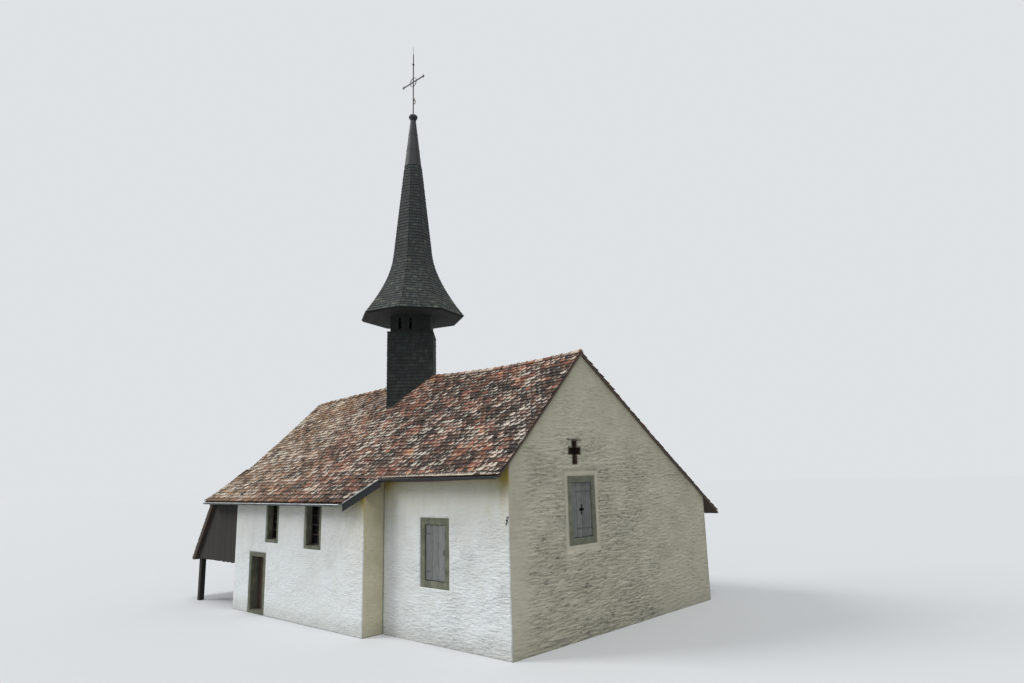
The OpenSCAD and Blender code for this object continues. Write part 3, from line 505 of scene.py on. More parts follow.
def block(start, end, edge):
    """A block between two corners, with its edges taken off. Each of its corners is three points,
    one on each face that meets there."""
    ends = [sorted(pair) for pair in zip(start, end)]
    signs = [(i & 1, i >> 1 & 1, i >> 2) for i in range(8)]
    points = [[ends[k][sign[k]] + (0 if k == face else edge * (1 - 2 * sign[k])) for k in range(3)]
              for sign in signs for face in range(3)]

    def number(face, axis, *sides):
        """The point on a face, from the corner's side along an axis and the two after it."""
        return 3 * sum(side << (axis + k) % 3 for k, side in enumerate(sides)) + face

    faces = [[3 * i, 3 * i + 1, 3 * i + 2][::1 if sum(sign) % 2 else -1]
             for i, sign in enumerate(signs)]
    for axis in range(3):
        u, v = (axis + 1) % 3, (axis + 2) % 3
        for side in (0, 1):
            ring = [number(axis, axis, side, *du) for du in ((0, 0), (1, 0), (1, 1), (0, 1))]
            faces.append(ring if side else ring[::-1])
        for du, dv in ((0, 0), (0, 1), (1, 0), (1, 1)):
            ring = [number(u, axis, 0, du, dv), number(u, axis, 1, du, dv),
                    number(v, axis, 1, du, dv), number(v, axis, 0, du, dv)]
            faces.append(ring if du == dv else ring[::-1])
    return points, faces


def swept(profile, path):
    """A closed profile carried along a path: each path entry gives the place of (across, up)."""
    points = [place(across, up) for place in path for across, up in profile]
    n = len(profile)
    faces = [tuple(range(n))[::-1], tuple(range(len(points) - n, len(points)))]
    for ring in range(0, len(points) - n, n):
        faces += [(ring + i, ring + (i + 1) % n, ring + n + (i + 1) % n, ring + n + i)
                  for i in range(n)]
    return points, faces


def shell(upper, lower):
    """A closed sheet between two grids of points, each given as rows."""
    rows, wide = len(upper), len(upper[0])
    under = rows * wide
    faces = []
    for i in (row * wide + column for row in range(rows - 1) for column in range(wide - 1)):
        ring = (i, i + 1, i + 1 + wide, i + wide)
        faces += [ring, [under + k for k in reversed(ring)]]
    rim = [*range(wide - 1), *range(wide - 1, under - 1, wide),
           *range(under - 1, under - wide, -1), *range(under - wide, 0, -wide)]
    faces += [(a, under + a, under + b, b) for a, b in zip(rim, rim[1:] + rim[:1])]
    return [point for grid in (upper, lower) for row in grid for point in row], faces


def prism(outline, axis, start, end):
    """An outline across and up, drawn out through its wall between two depths."""
    turned = sum(a * d - c * b for (a, b), (c, d) in zip(outline, outline[1:] + outline[:1]))
    ring = outline if turned > 0 else outline[::-1]
    depths = sorted((start, end), reverse=axis == 1)
    points = [(a, depth, z) if axis == 0 else (depth, a, z) for depth in depths for a, z in ring]
    n = len(ring)
    faces = [tuple(range(n)), tuple(range(2 * n - 1, n - 1, -1))]
    faces += [(i, n + i, n + (i + 1) % n, (i + 1) % n) for i in range(n)]
    return points, faces


def bar(line, radius, sides=8, flat=1.0):
    """A round or flattened bar bent along a line of points."""
    line = [Vector(point) for point in line]
    path = []
    for index, point in enumerate(line):
        ahead = line[min(index + 1, len(line) - 1)] - line[max(index - 1, 0)]
        side = ahead.cross(UP)
        side = side.normalized() if side.length > 1e-4 else Vector((1, 0, 0))
        rise = side.cross(ahead).normalized()
        path.append(lambda a, b, at=point, side=side, rise=rise: at + side * a + rise * b)
    turns = [2 * math.pi * k / sides for k in range(sides)]
    return swept([(-radius * math.cos(t), radius * flat * math.sin(t)) for t in turns], path)


def wall_box(axis, reach, depths, z):
    """Two corners of a box on a wall, from its reach along the wall, its depth and its height."""
    return [(reach[i], depths[i], z[i]) if axis == 0 else (depths[i], reach[i], z[i])
            for i in (0, 1)]


# The settled ridge: places from the gable to the west verge, in metres west of the gable's face,
# and how far the ridge stands over or under a level line at each
RIDGE_PLACES = (-0.1, 0.9, 2.0, 3.3, 5.3, 6.5, 9.4, 10.2, 12.3, 14.0)
RIDGE_RISES = (0.03, -0.03, -0.06, -0.08, -0.03, 0.03, -0.14, -0.19, -0.27, -0.39)
RIDGE_ROUNDING = 0.35


def ridge_line(x):
    """Height of the settled ridge."""
    near = [np.interp(-x + shift, RIDGE_PLACES, RIDGE_RISES)
            for shift in (-RIDGE_ROUNDING, 0, RIDGE_ROUNDING)]
    return RIDGE_Z + sum(near) / 3


SLOPE_SAG = 0.025
SLOPE_WAVE = 0.03


class Slope:
    """One slope of the roof. A place on it is a, metres along the eave with the slope rising away,
    and b, metres up from the eave. The span gives the slope's two ends at a height."""

    def __init__(self, foot, head, span):
        self.foot, self.head, self.span = foot, head, span
        self.length = (foot(0) - head(0)).length

    def at(self, a, b):
        share = b / self.length
        wave = (float(noise(a / 1.3, b / 1.1, 5)) - 0.5) * SLOPE_WAVE
        settled = wave * math.sin(math.pi * min(1, share))
        sag = SLOPE_SAG * math.sin(math.pi * min(1, share))
        return self.foot(a).lerp(self.head(a), share) + Vector((0, 0, settled - sag))

    def frame_at(self, a, b):
        """A place on the slope and its directions across, up and out."""
        step = 0.1
        up = (self.at(a, b + step) - self.at(a, b - step)).normalized()
        across = self.at(a + step, b) - self.at(a - step, b)
        out = across.cross(up).normalized()
        return self.at(a, b), up.cross(out), up, out

    def ends(self, b, margin=0):
        return self.span(clamp(b, margin, self.length - margin))


# How far the west slope runs on under the verges of the other two, at its head and below it
WEST_UNDER = (WEST_X - VERGE_X) * math.tan(PORCH_PITCH) - 0.15
VERGE_DEPTH = 0.26
VERGE_SETTLING = 0.36


def near_span(b):
    y = NAVE_EAVE_Y + b * math.cos(NEAR_PITCH)
    west = max(west_slope_x(min(near_z(y), KNEE_Z)), PORCH_EDGE_X)
    if y < CHOIR_EAVE_Y:
        share = (y - NAVE_EAVE_Y) / (CHOIR_EAVE_Y - NAVE_EAVE_Y)
        return west, JOG_FOOT_X + share * (JOG_TOP_X - JOG_FOOT_X)
    return west, VERGE_OUT


def far_span(b):
    z = FAR_EAVE_Z + b * math.sin(FAR_PITCH)
    return -VERGE_OUT, -west_slope_x(min(z, KNEE_Z))


def west_span(b):
    """Up to the knee this slope meets the other two; above it, it runs on under their verges."""
    z = PORCH_EDGE_Z + b * math.sin(PORCH_PITCH)
    settled = VERGE_SETTLING * (z - NAVE_EAVE_Z) / (RIDGE_Z - NAVE_EAVE_Z)
    drop = RIDGE_Z - z - (VERGE_DEPTH + settled if z > KNEE_Z else 0)
    near = RIDGE_Y - drop / math.tan(NEAR_PITCH) if z > NAVE_EAVE_Z else PORCH_Y[0]
    far = RIDGE_Y + drop / math.tan(FAR_PITCH) if z > FAR_EAVE_Z else PORCH_Y[1]
    return -far, -near


NEAR_SLOPE = Slope(lambda a: Vector((a, NAVE_EAVE_Y, NAVE_EAVE_Z)),
                   lambda a: Vector((a, RIDGE_Y, ridge_line(a))), near_span)
FAR_SLOPE = Slope(lambda a: Vector((-a, FAR_EAVE_Y, FAR_EAVE_Z)),
                  lambda a: Vector((-a, RIDGE_Y, ridge_line(-a))), far_span)
WEST_SLOPE = Slope(lambda a: Vector((PORCH_EDGE_X, -a, PORCH_EDGE_Z)),
                   lambda a: Vector((VERGE_X + WEST_UNDER / math.tan(PORCH_PITCH), -a,
                                     KNEE_Z + WEST_UNDER)), west_span)

TILE_W = 0.194
TILE_GAUGE = 0.161
TILE_L = 0.33
TILE_T = 0.019
TILE_CAMBER = 0.008
TILE_NOSE = 0.085
TILE_RISE = TILE_T / TILE_GAUGE
TAIL_STEPS = 6
# How unevenly the tiles lie: tails lifted, slipped down, turned, and moved to the side
TILE_UNEVEN = (0.01, 0.007, 0.02, 0.003)


def tile_shape():
    """A plain tile with a round tail: its corners across and up it, and its faces."""
    half = TILE_W / 2
    turns = [math.pi * k / TAIL_STEPS for k in range(TAIL_STEPS + 1)]
    outline = [(-half * math.cos(t), TILE_NOSE * (1 - math.sin(t))) for t in turns]
    outline += [(-half, TILE_L), (0, TILE_L), (half, TILE_L)]
    n = len(outline)
    upper = [(0, 1, 2, 3, 8, 7), (3, 4, 5, 6, 9, 8)]
    under = [tuple(n + i for i in reversed(face)) for face in upper]
    ring = [0, 1, 2, 3, 4, 5, 6, 9, 8, 7]
    sides = [(n + p, n + q, q, p) for p, q in zip(ring, ring[1:] + ring[:1])]
    return outline, upper + under + sides


TILE_OUTLINE, TILE_FACES = tile_shape()
# Each tile is painted lighter at its tail and darker in the gap above it: partly lichen on the
# wet tail and moss and soot in the gap, and partly a painted highlight on the tail and painted
# shade in the gap. One side of each tile is painted lighter than the other, as painted light.
TAIL_HIGHLIGHT_AND_GAP_SHADE = np.array([float(y < TILE_NOSE * 1.01) for x, y in TILE_OUTLINE] * 2) - 0.75
SIDE_LIGHT = np.array([x / TILE_W for x, y in TILE_OUTLINE] * 2)


def lay_tiles(slope, seed, tone):
    """Plain tiles in staggered courses over a slope, each a little out of true."""
    heap = Heap()
    rng = np.random.default_rng(seed)
    for course in range(int(slope.length / TILE_GAUGE) + 1):
        b = course * TILE_GAUGE
        first, last = slope.span(min(b + TILE_GAUGE / 2, slope.length))
        stagger = 0.5 * (course % 2) + rng.uniform(-0.1, 0.1)
        for index in range(int((last - first) / TILE_W) + 2):
            a = first + (index + stagger) * TILE_W
            if not first - TILE_W / 2 < a < last + TILE_W / 2:
                continue
            here, across, up, out = slope.frame_at(a, b)
            lift, slip, turn, side = rng.normal(0, TILE_UNEVEN)
            points = []
            for thick in (0, TILE_T):
                for x, y in TILE_OUTLINE:
                    rise = min(y + slip + turn * x, slope.length - b)
                    left, right = slope.ends(b + rise)
                    along = clamp(x + side - turn * (y - TILE_L), left - a, right - a)
                    height = (3 * TILE_T - TILE_RISE * y + abs(lift) * (1 - y / TILE_L)
                              + TILE_CAMBER * (1 - (x / (TILE_W / 2)) ** 2) - thick)
                    points.append(here + across * along + up * rise + out * height)
            shade, growth = tone(a, b, rng)
            growth -= 0.5 * (course == 0)
            # The tail and side marks add painted highlight and painted shade to each tile's tone
            # and lichen
            heap.put((points, TILE_FACES), shade + 0.5 * TAIL_HIGHLIGHT_AND_GAP_SHADE + 0.2 * SIDE_LIGHT,
                     growth + 0.8 * TAIL_HIGHLIGHT_AND_GAP_SHADE + 0.6 * SIDE_LIGHT)
    return heap


def near_tone(a, b, rng):
    """Pale and even toward the west, dark with bright patches toward the gable."""
    east = clamp((a + 11) / 7)
    patch = float(noise(a / 0.55, b / 0.5, 21))
    mended = 0.26 * ease(clamp((patch - 0.6) / 0.12))
    shade = 0.46 - 0.25 * east + mended * east + rng.normal(0, 0.15 + 0.01 * east)
    shade += 0.16 * max(0, b / NEAR_SLOPE.length - 0.8) / 0.2
    growth = 0.24 - 0.07 * east + (float(noise(a / 0.7, b / 0.6, 23)) - 0.5) * 0.4
    return shade, growth + rng.normal(0, 0.2)


def far_tone(a, b, rng):
    patch = float(noise(a / 0.9, b / 0.8, 31))
    shade = 0.33 + 0.14 * ease(clamp((patch - 0.55) / 0.2)) + rng.normal(0, 0.14)
    growth = 0.22 + (float(noise(a / 1.1, b / 1.0, 32)) - 0.5) * 0.4 + rng.normal(0, 0.18)
    return shade, growth


DECK_T = 0.11
# Over the gable wall and its verge only a thin bed lies under the tiles
BED_T = 0.05
BED_REACH = 0.7


def lay_deck(heap, slope, first_b, last_b, rows, columns, gable_way):
    """The boarded deck and its rafters' depth under the tiles, as one bent sheet. gable_way is the
    sign of a toward the gable."""
    upper, lower = [], []
    for b in np.linspace(first_b, last_b, rows + 1):
        left, right = slope.span(clamp(b, first_b + MM, last_b - MM))
        places = [(a, *slope.frame_at(a, b)) for a in np.linspace(left, right, columns + 1)]
        upper.append([here for a, here, across, up, out in places])
        lower.append([here - out * (BED_T if gable_way * a > -BED_REACH else DECK_T)
                      for a, here, across, up, out in places])
    heap.put(shell(upper, lower))


def make_roof(clay):
    for name, slope, seed, tone, nodes in (
            ("near_slope_tiles", NEAR_SLOPE, 11, near_tone,
             ("nave_roof_south", "choir_roof_south")),
            ("far_slope_tiles", FAR_SLOPE, 12, far_tone,
             ("nave_roof_north", "choir_roof_north")),
            ("west_slope_tiles", WEST_SLOPE, 13, far_tone, ())):
        piece(name, lay_tiles(slope, seed, tone), clay, nodes)
    # Larch deck boards, dry and brown under the tiles
    boards = timber("weathered_larch_x", "#2a211b", "#43352b", "#5d4d40", 9, 0.85, 0)
    deck = Heap()
    split = (CHOIR_EAVE_Y - NAVE_EAVE_Y) / math.cos(NEAR_PITCH)
    lay_deck(deck, NEAR_SLOPE, 0, split, 3, 16, 1)
    lay_deck(deck, NEAR_SLOPE, split, NEAR_SLOPE.length, 12, 40, 1)
    lay_deck(deck, FAR_SLOPE, 0, FAR_SLOPE.length, 20, 40, -1)
    piece("roof_deck", deck, boards)
    finish_nodes(boards, "west_hip", "porch_roof")


RIDGE_TILE_L = 0.4
RIDGE_TILE_LAP = 0.06
RIDGE_TILE_R = 0.115
RIDGE_TILE_T = 0.014
RIDGE_SINK = 0.035
RIDGE_ARC = math.radians(84.1)
RIDGE_STEPS = 8
# Each ridge tile's raised rim and lap: places along it, and how far each stands out
RIDGE_RIM = ((0.0, 0.016), (0.045, 0.016), (0.05, 0.004))
RIDGE_TUCK = -0.004
# How far one ridge tile's radius, side and height are off the next one's
RIDGE_UNEVEN = 0.004
MORTAR_PROFILE = [(-0.105, -0.12), (0.115, -0.12), (0.115, -0.045), (0.06, 0.0), (-0.06, 0.0),
                  (-0.105, -0.065)]
# The mortar stops short of the ridge's ends, swells and thins by hand, and lies over its line
MORTAR_SHY = 0.01
MORTAR_STEP = 0.12
MORTAR_SWELL = 0.012
MORTAR_UP = 0.012


def ridge_tiles(heap, start_x, end_x, rng):
    """Half round tiles over the ridge, each lapping the one before, with a raised rim."""
    count = max(1, round((start_x - end_x) / (RIDGE_TILE_L - RIDGE_TILE_LAP)))
    pitch = (start_x - end_x) / count
    turns = np.linspace(math.pi / 2 + RIDGE_ARC, math.pi / 2 - RIDGE_ARC, RIDGE_STEPS + 1)
    for index in range(count):
        start = start_x - index * pitch
        radius = RIDGE_TILE_R + rng.uniform(-RIDGE_UNEVEN, RIDGE_UNEVEN)
        side, tilt = rng.normal(0, RIDGE_UNEVEN), rng.normal(0, RIDGE_UNEVEN)
        stations = [(start - place, radius + proud) for place, proud in RIDGE_RIM]
        stations.append((max(start - pitch - RIDGE_TILE_LAP, end_x), radius + RIDGE_TUCK))
        faces = [[[Vector((x, RIDGE_Y + side + (r - deep) * math.cos(t),
                           ridge_line(x) - RIDGE_SINK + tilt + (r - deep) * math.sin(t)))
                   for t in turns] for x, r in stations] for deep in (0, RIDGE_TILE_T)]
        heap.put(shell(*faces), clamp(rng.normal(0.6, 0.12)), rng.uniform(0.2, 0.8))


def make_ridge(clay):
    rng = np.random.default_rng(41)
    half = (high("turret_shaft").x - low("turret_shaft").x) / 2 - 0.01
    tiles, bed = Heap(), Heap()
    for start, end in ((VERGE_OUT, TURRET.x + half), (TURRET.x - half, VERGE_X)):
        ridge_tiles(tiles, start, end, rng)
    piece("ridge_tiles", tiles, clay, ("ridge_cap",), smooth=True)
    for start, end in ((VERGE_OUT - MORTAR_SHY, TURRET.x + half),
                       (TURRET.x - half, VERGE_X + MORTAR_SHY)):
        path = []
        for x in np.linspace(start, end, max(2, int((start - end) / MORTAR_STEP))):
            swell = MORTAR_SWELL * (float(noise(x / 0.11, 3, 44)) - 0.5)
            path.append(lambda across, up, x=x, swell=swell: Vector(
                (x, RIDGE_Y + across * (1 + swell * 20), ridge_line(x) + MORTAR_UP + up + swell)))
        bed.put(swept(MORTAR_PROFILE, path))
    # Lime mortar under the ridge tiles, trowelled by hand: pale grey, sandy and matt
    mortar = mottled("lime_mortar", 30, 6.0, 0.75, [
        (0.3, "#4d4841"), (0.55, "#6c665c"), (0.75, "#857e71")], 0.92, 8)
    piece("ridge_mortar", bed, mortar)


COAT = 0.008
# Two coats meet a little short of the corner, so that neither edge shows through the other
LAP = 0.7 * COAT
# A coat's edges run this far into the wall, and the rubble fades out this near to them
COAT_ROOT = 0.012
COAT_FADE = 0.05
# Limewashed rubble bulges and dips by this much, and never dips deeper than this
WALL_SWAY = 0.014
DEEPEST_DIP = 0.006
# Where a slanted top squeezes two rows of a coat nearer than this, they count as one
LEAST_RISE = 1e-6
# Coats stop this far under a slope's line. At the nave's corner, where the slanted board crosses,
# they stop further under it, and the west one leaves more for the slope under the verge.
ROOF_GAP = 0.1
GABLE_GAP = 0.05
BOARD_GAP_DOWN = 0.11
WEST_GAP = 0.5


def rubble(u, z, stone, course, seed):
    """Height from 0 to 1 of round lumps of rubble, long and thin, and the creases between them."""
    bed = z + 0.5 * course * (noise(u / 0.6, z / 0.4, seed) - 0.5)
    large = np.abs(2 * noise(u / stone, bed / course, seed + 1) - 1)
    small = np.abs(2 * noise(u / (0.45 * stone) + 9, bed / (0.55 * course), seed + 2) - 1)
    return np.power(0.62 * large + 0.38 * small, 0.6)


def plaster(u, z, top, depth, course, stone, seed, mask, damp_at=(), ageing=0.3, spread=0.28):
    """Relief, bareness and damp of a wall. Damp hangs under the roof, in drawn out streaks, and
    spreads from the places in damp_at. Ageing is a damp that reaches further down."""
    shown = mask(u, z)
    lumps = depth * shown * (rubble(u, z, stone, course, seed) - 0.35)
    sway = (noise(u / 0.9, z / 0.7, seed + 9) - 0.5) * WALL_SWAY
    raised = np.maximum(lumps + sway, -DEEPEST_DIP)
    bare = shown * (0.3 + noise(u / 0.6, z / 0.4, seed + 11))
    under = np.maximum(top - z, 0)
    drawn = 0.35 + 0.9 * noise(u / 0.22, z / 1.8, seed + 12)
    damp = 0.75 * np.exp(-under / 0.16) * drawn + ageing * np.exp(-under / 0.9)
    for place in damp_at:
        damp = damp + 1.35 * np.exp(-np.abs(u - place) / spread - under / 0.75) * drawn
    return raised, bare, np.clip(damp, 0, 1)


def past(hole, u, z):
    """How far places on a wall lie outside a hole, and less than 0 inside it."""
    left, right, foot, head = hole
    return np.maximum(np.maximum(left - u, u - right), np.maximum(foot - z, z - head))


def even_lines(length, step, fixed):
    """Grid lines about a step apart that also meet each of the fixed places."""
    marks = sorted({0.0, length, *[f for f in fixed if 0 < f < length]})
    lines = []
    for start, end in zip(marks, marks[1:]):
        count = max(1, round((end - start) / step))
        lines.extend(start + (end - start) * i / count for i in range(count))
    return np.array(lines + [length])


def coat_wall(name, corner, along, length, top, holes, surface, step, tall, **wall):
    """A skin of limewash over a wall's rubble, cut out at its openings and closed at its edges.
    Shade holds the damp stain under the roof, and growth how bare the rubble is. wall holds the
    rest of what plaster takes."""
    out = along.cross(UP)
    us = even_lines(length, step[0], [edge for hole in holes for edge in hole[:2]])
    zs = even_lines(tall, step[1], [edge for hole in holes for edge in hole[2:]])
    u, z = np.meshgrid(us, zs, indexing="ij")
    z = np.minimum(z, top(u))
    raised, bare, damp = plaster(u, z, top(u), **wall)
    border = np.minimum(u, length - u)
    for hole in holes:
        border = np.minimum(border, np.maximum(past(hole, u, z), 0))
    fade = ease(np.clip(border / COAT_FADE, 0, 1))
    place = u - LAP * (u <= 0) + LAP * (u >= length)
    face, root = [np.array(corner) + place[..., None] * np.array(along) + lift[..., None]
                  * np.array(out) for lift in (COAT + raised * fade, np.full_like(u, -COAT_ROOT))]
    face[..., 2] = root[..., 2] = z
    rows, rises = len(zs), (z[:, 1:] > z[:, :-1] + LEAST_RISE).astype(int)
    faces = []
    for i in range(len(us) - 1):
        for j in range(rows - 1):
            middle = (us[i] + us[i + 1]) / 2, (zs[j] + zs[j + 1]) / 2
            if not (rises[i, j] or rises[i + 1, j]) or any(past(h, *middle) < 0 for h in holes):
                continue
            a = i * rows + j
            faces.append([a, a + rows] + [a + rows + 1] * rises[i + 1, j] + [a + 1] * rises[i, j])
    # A side that only one face has is part of the rim, and from there a face runs into the wall
    sides = {side for ring in faces for side in zip(ring, ring[1:] + ring[:1])}
    rim = sorted((p, q) for p, q in sides if (q, p) not in sides)
    used = sorted({i for ring in faces for i in ring})
    number = {i: order for order, i in enumerate(used)}
    rooted = [p for p, q in rim]
    under = {p: len(used) + order for order, p in enumerate(rooted)}
    faces = [[number[i] for i in ring] for ring in faces]
    faces += [[number[q], number[p], under[p], under[q]] for p, q in rim]
    points = [*face.reshape(-1, 3)[used], *root.reshape(-1, 3)[rooted]]
    heap = Heap()
    heap.put((points, faces), damp.ravel()[used + rooted], (bare * fade).ravel()[used + rooted])
    piece(name, heap, surface, smooth=True)


def opening(points, axis, start, sign):
    """An opening's place along a wall that starts at a coordinate and runs up or down an axis."""
    ends = sorted((sign * (points[:, axis].min() - start), sign * (points[:, axis].max() - start)))
    return (*ends, max(0, points[:, 2].min()), points[:, 2].max())


def nearest_the_gable():
    """The cross's own board and what frames it, from the gable wall."""
    return min(solids("cross_lining"), key=lambda part: part[:, 0].min())


def make_walls():
    # Fresh white coats on the door side, with a cool cast
    white = limewash("limewash_door_side", "#d2d6d7", "#cacdcb", "#8b7e3d", 150, 55, 0.12)
    # Thin old coats on the gable, where the warm grey stone shows through. The coat is also
    # painted darker than the door side's, as painted shade on the faces away from the light
    grey = limewash("limewash_gable", "#aeab9a", "#a29f8d", "#857f69", 300, 180, 0.65)
    # The return stays damp, and its coats have turned ochre
    ochre = limewash("limewash_return", "#bdb79f", "#aea98f", "#807449", 200, 40, 0.1)

    def windows(near, *nodes):
        return [points for node in nodes for points in solids(node)
                if (points[:, 1].mean() < RIDGE_Y) == near]

    window = opening(solids("gable_window_surround")[0], 1, 0, 1)
    cross = nearest_the_gable()
    y_levels, z_levels = levels(cross, 1), levels(cross, 2)
    arms = (y_levels[0], y_levels[3], z_levels[1], z_levels[2])
    upright = (y_levels[1], y_levels[2], z_levels[0], z_levels[3])

    # How strongly the rubble shows at each place of a wall
    def nave_mask(u, z):
        return 0.25 + 0.35 * noise(u / 1.5, z / 1.0, 71)

    def choir_mask(u, z):
        lower = np.clip((3.9 - z) / 1.6, 0, 1)
        return 0.25 + 0.9 * lower * (0.45 + 0.55 * np.clip(u / 2.6, 0, 1))

    def gable_mask(u, z):
        upper = np.clip((6.0 - z) / 1.2, 0.22, 1)
        corner = np.clip((u - 0.35) / 0.5, 0.2, 1)
        band = np.clip((past(window, u, z) - 0.12) / 0.1, 0.12, 1)
        far = np.clip((8.6 - u) / 3.0, 0.4, 1)
        return upper * corner * band * far * (0.6 + 0.7 * noise(u / 1.2, z / 0.9, 72))

    nave_length = CORNER_X - WEST_X
    nave_top = near_z(NAVE_Y) - ROOF_GAP
    choir_top = near_z(0) - ROOF_GAP
    far_top = far_z(FAR_Y) - ROOF_GAP
    east, north = Vector((1, 0, 0)), Vector((0, 1, 0))
    coat_wall("coat_nave_door_side", (WEST_X, NAVE_Y, 0), east, nave_length,
              lambda u: nave_top - BOARD_GAP_DOWN * (u >= nave_length),
              [opening(points, 0, WEST_X, 1) for points in
               [*windows(True, "nave_window_surrounds"), corners("side_door_surround")]],
              white, (0.045, 0.035), nave_top, depth=0.05, course=0.1, stone=0.14, seed=61,
              mask=nave_mask, damp_at=(nave_length,), ageing=0.4, spread=0.75)
    coat_wall("coat_return", (CORNER_X, NAVE_Y, 0), north, -NAVE_Y,
              lambda u: nave_top + u * math.tan(NEAR_PITCH) - BOARD_GAP_DOWN * (u <= 0), [],
              ochre, (0.045, 0.04), choir_top, depth=0.014, course=0.12, stone=0.2, seed=62,
              mask=nave_mask, ageing=0.6)
    coat_wall("coat_choir_door_side", (CORNER_X, 0, 0), east, -CORNER_X,
              lambda u: np.full_like(u, choir_top),
              [opening(points, 0, CORNER_X, 1)
               for points in windows(True, "choir_window_surrounds")],
              white, (0.04, 0.02), choir_top, depth=0.024, course=0.062, stone=0.22, seed=63,
              mask=choir_mask, damp_at=(0, -CORNER_X), ageing=0.9, spread=0.42)
    coat_wall("coat_gable", (0, 0, 0), north, FAR_Y,
              lambda u: np.minimum(near_z(u), far_z(u)) - GABLE_GAP, [window, arms, upright],
              grey, (0.06, 0.0175), RIDGE_Z, depth=0.04, course=0.07, stone=0.4, seed=64,
              mask=gable_mask)
    coat_wall("coat_far_side", (0, FAR_Y, 0), -east, -WEST_X, lambda u: np.full_like(u, far_top),
              [opening(points, 0, 0, -1) for points in
               windows(False, "nave_window_surrounds", "choir_window_surrounds")],
              grey, (0.06, 0.032), far_top, depth=0.06, course=0.075, stone=0.34, seed=65,
              mask=nave_mask)
    coat_wall("coat_west", (WEST_X, FAR_Y, 0), -north, FAR_Y - NAVE_Y,
              lambda u: np.minimum(near_z(FAR_Y - u), far_z(FAR_Y - u)) - WEST_GAP,
              [opening(corners("west_door_surround"), 1, FAR_Y, -1)],
              white, (0.06, 0.04), RIDGE_Z, depth=0.03, course=0.11, stone=0.2, seed=66,
              mask=nave_mask)
    finish_nodes(white, "nave_door_pier", "nave_over_door", "nave_south_wall", "nave_west_wall",
                 "choir_south_wall")
    finish_nodes(grey, "nave_north_wall", "choir_north_wall", "choir_gable_wall")
    finish_nodes(ochre, "nave_return_wall")


STONE_EDGE = 0.006


def make_stones():
    """Window frames of four dressed stones each: sill and lintel across, jambs between them."""
    stone = dressed_sandstone()
    rng = np.random.default_rng(81)
    for name, node, axis in (
            ("nave_window_surrounds_stones", "nave_window_surrounds", 0),
            ("choir_window_surrounds_stones", "choir_window_surrounds", 0),
            ("gable_window_stones", "gable_window_surround", 1)):
        heap = Heap()
        for points in solids(node):
            a, z = levels(points, axis), levels(points, 2)
            depths = points[:, 1 - axis].min(), points[:, 1 - axis].max()
            for reach, rise in (((a[0], a[-1]), z[:2]), ((a[0], a[-1]), z[-2:]),
                                (a[:2], (z[1], z[-2])), (a[-2:], (z[1], z[-2]))):
                heap.put(block(*wall_box(axis, reach, depths, rise), STONE_EDGE),
                         rng.uniform(0.2, 0.8))
        piece(name, heap, stone, (node,))
    finish_nodes(stone, "side_door_surround", "west_door_surround", "stone_floor")


SHINGLE_GAUGE = 0.125
SHINGLE_L = 0.2
SHINGLE_W = (0.075, 0.15)
SHINGLE_T = 0.012
SHINGLE_THIN = 0.004
SHINGLE_GAP = 0.0015
# A shingle shorter or narrower than this is left out
SHINGLE_SHORTEST = 0.03
SHINGLE_NARROWEST = 0.02
# The shaft's shingles start this far under its top, inside the roof, and end this far under it.
# Their backs are sunk in its faces, and each face's courses are this much wider than the face.
SHAFT_CLAD, SHAFT_BARE = 3.05, 0.06
SHAFT_SUNK = 0.025
SHAFT_CORNER = 0.02


def lay_shingles(heap, place, width_at, length, rng, growth):
    """Shingles in courses on a flat or bent face: place(a, b, height) gives each point, a is metres
    from the face's middle line and b metres up it. growth is the lichen at the face's foot, what
    the whole face's height adds to it, and how unevenly it grows."""
    for course in range(int(length / SHINGLE_GAUGE) + 1):
        b = course * SHINGLE_GAUGE
        top_b = min(b + SHINGLE_L, length)
        if top_b - b < SHINGLE_SHORTEST:
            continue
        low_half, top_half = width_at(b) / 2, width_at(top_b) / 2
        cuts = [-1.0]
        while cuts[-1] < 1:
            cuts.append(cuts[-1] + rng.uniform(*SHINGLE_W) / max(low_half, 0.05))
        cuts[-1] = 1.0
        for left, right in zip(cuts, cuts[1:]):
            if (right - left) * low_half < SHINGLE_NARROWEST:
                continue
            foot = b - rng.uniform(-0.007, 0.007)
            lift = SHINGLE_T * 1.9 + rng.uniform(0, 0.006)
            ends = ((left * low_half + SHINGLE_GAP, foot), (right * low_half - SHINGLE_GAP, foot),
                    (right * top_half - SHINGLE_GAP, top_b), (left * top_half + SHINGLE_GAP, top_b))
            under, upper = [
                [place(*end, height) for end, height in zip(ends, (tail, tail, head, head))]
                for tail, head in ((lift - SHINGLE_T, 0.0), (lift, SHINGLE_THIN))]
            shade = clamp(rng.normal(0.45, 0.2))
            lichen = max(0, rng.normal(growth[0] + growth[1] * b / length, growth[2]))
            heap.put(slab(under, upper), shade, lichen)


def radii(points):
    """Levels of a solid about the turret's axis, and its greatest radius at each."""
    widest = {}
    for x, y, z in points:
        level = round(float(z), 4)
        widest[level] = max(widest.get(level, 0), math.hypot(x - TURRET.x, y - TURRET.y))
    return sorted(widest.items())


def spire_rim():
    """Radius of the spire's rim, and the turn of one of its corners."""
    foot = [(p[0] - TURRET.x, p[1] - TURRET.y) for p in corners("spire") if p[2] < RIM_Z + MM]
    x, y = max(foot, key=lambda p: (round(math.hypot(*p), 3), p[0]))
    return math.hypot(x, y), math.atan2(y, x)


def face_ways(turn):
    """The directions out of and along an upright face of the turret."""
    return Vector((math.cos(turn), math.sin(turn), 0)), Vector((-math.sin(turn), math.cos(turn), 0))


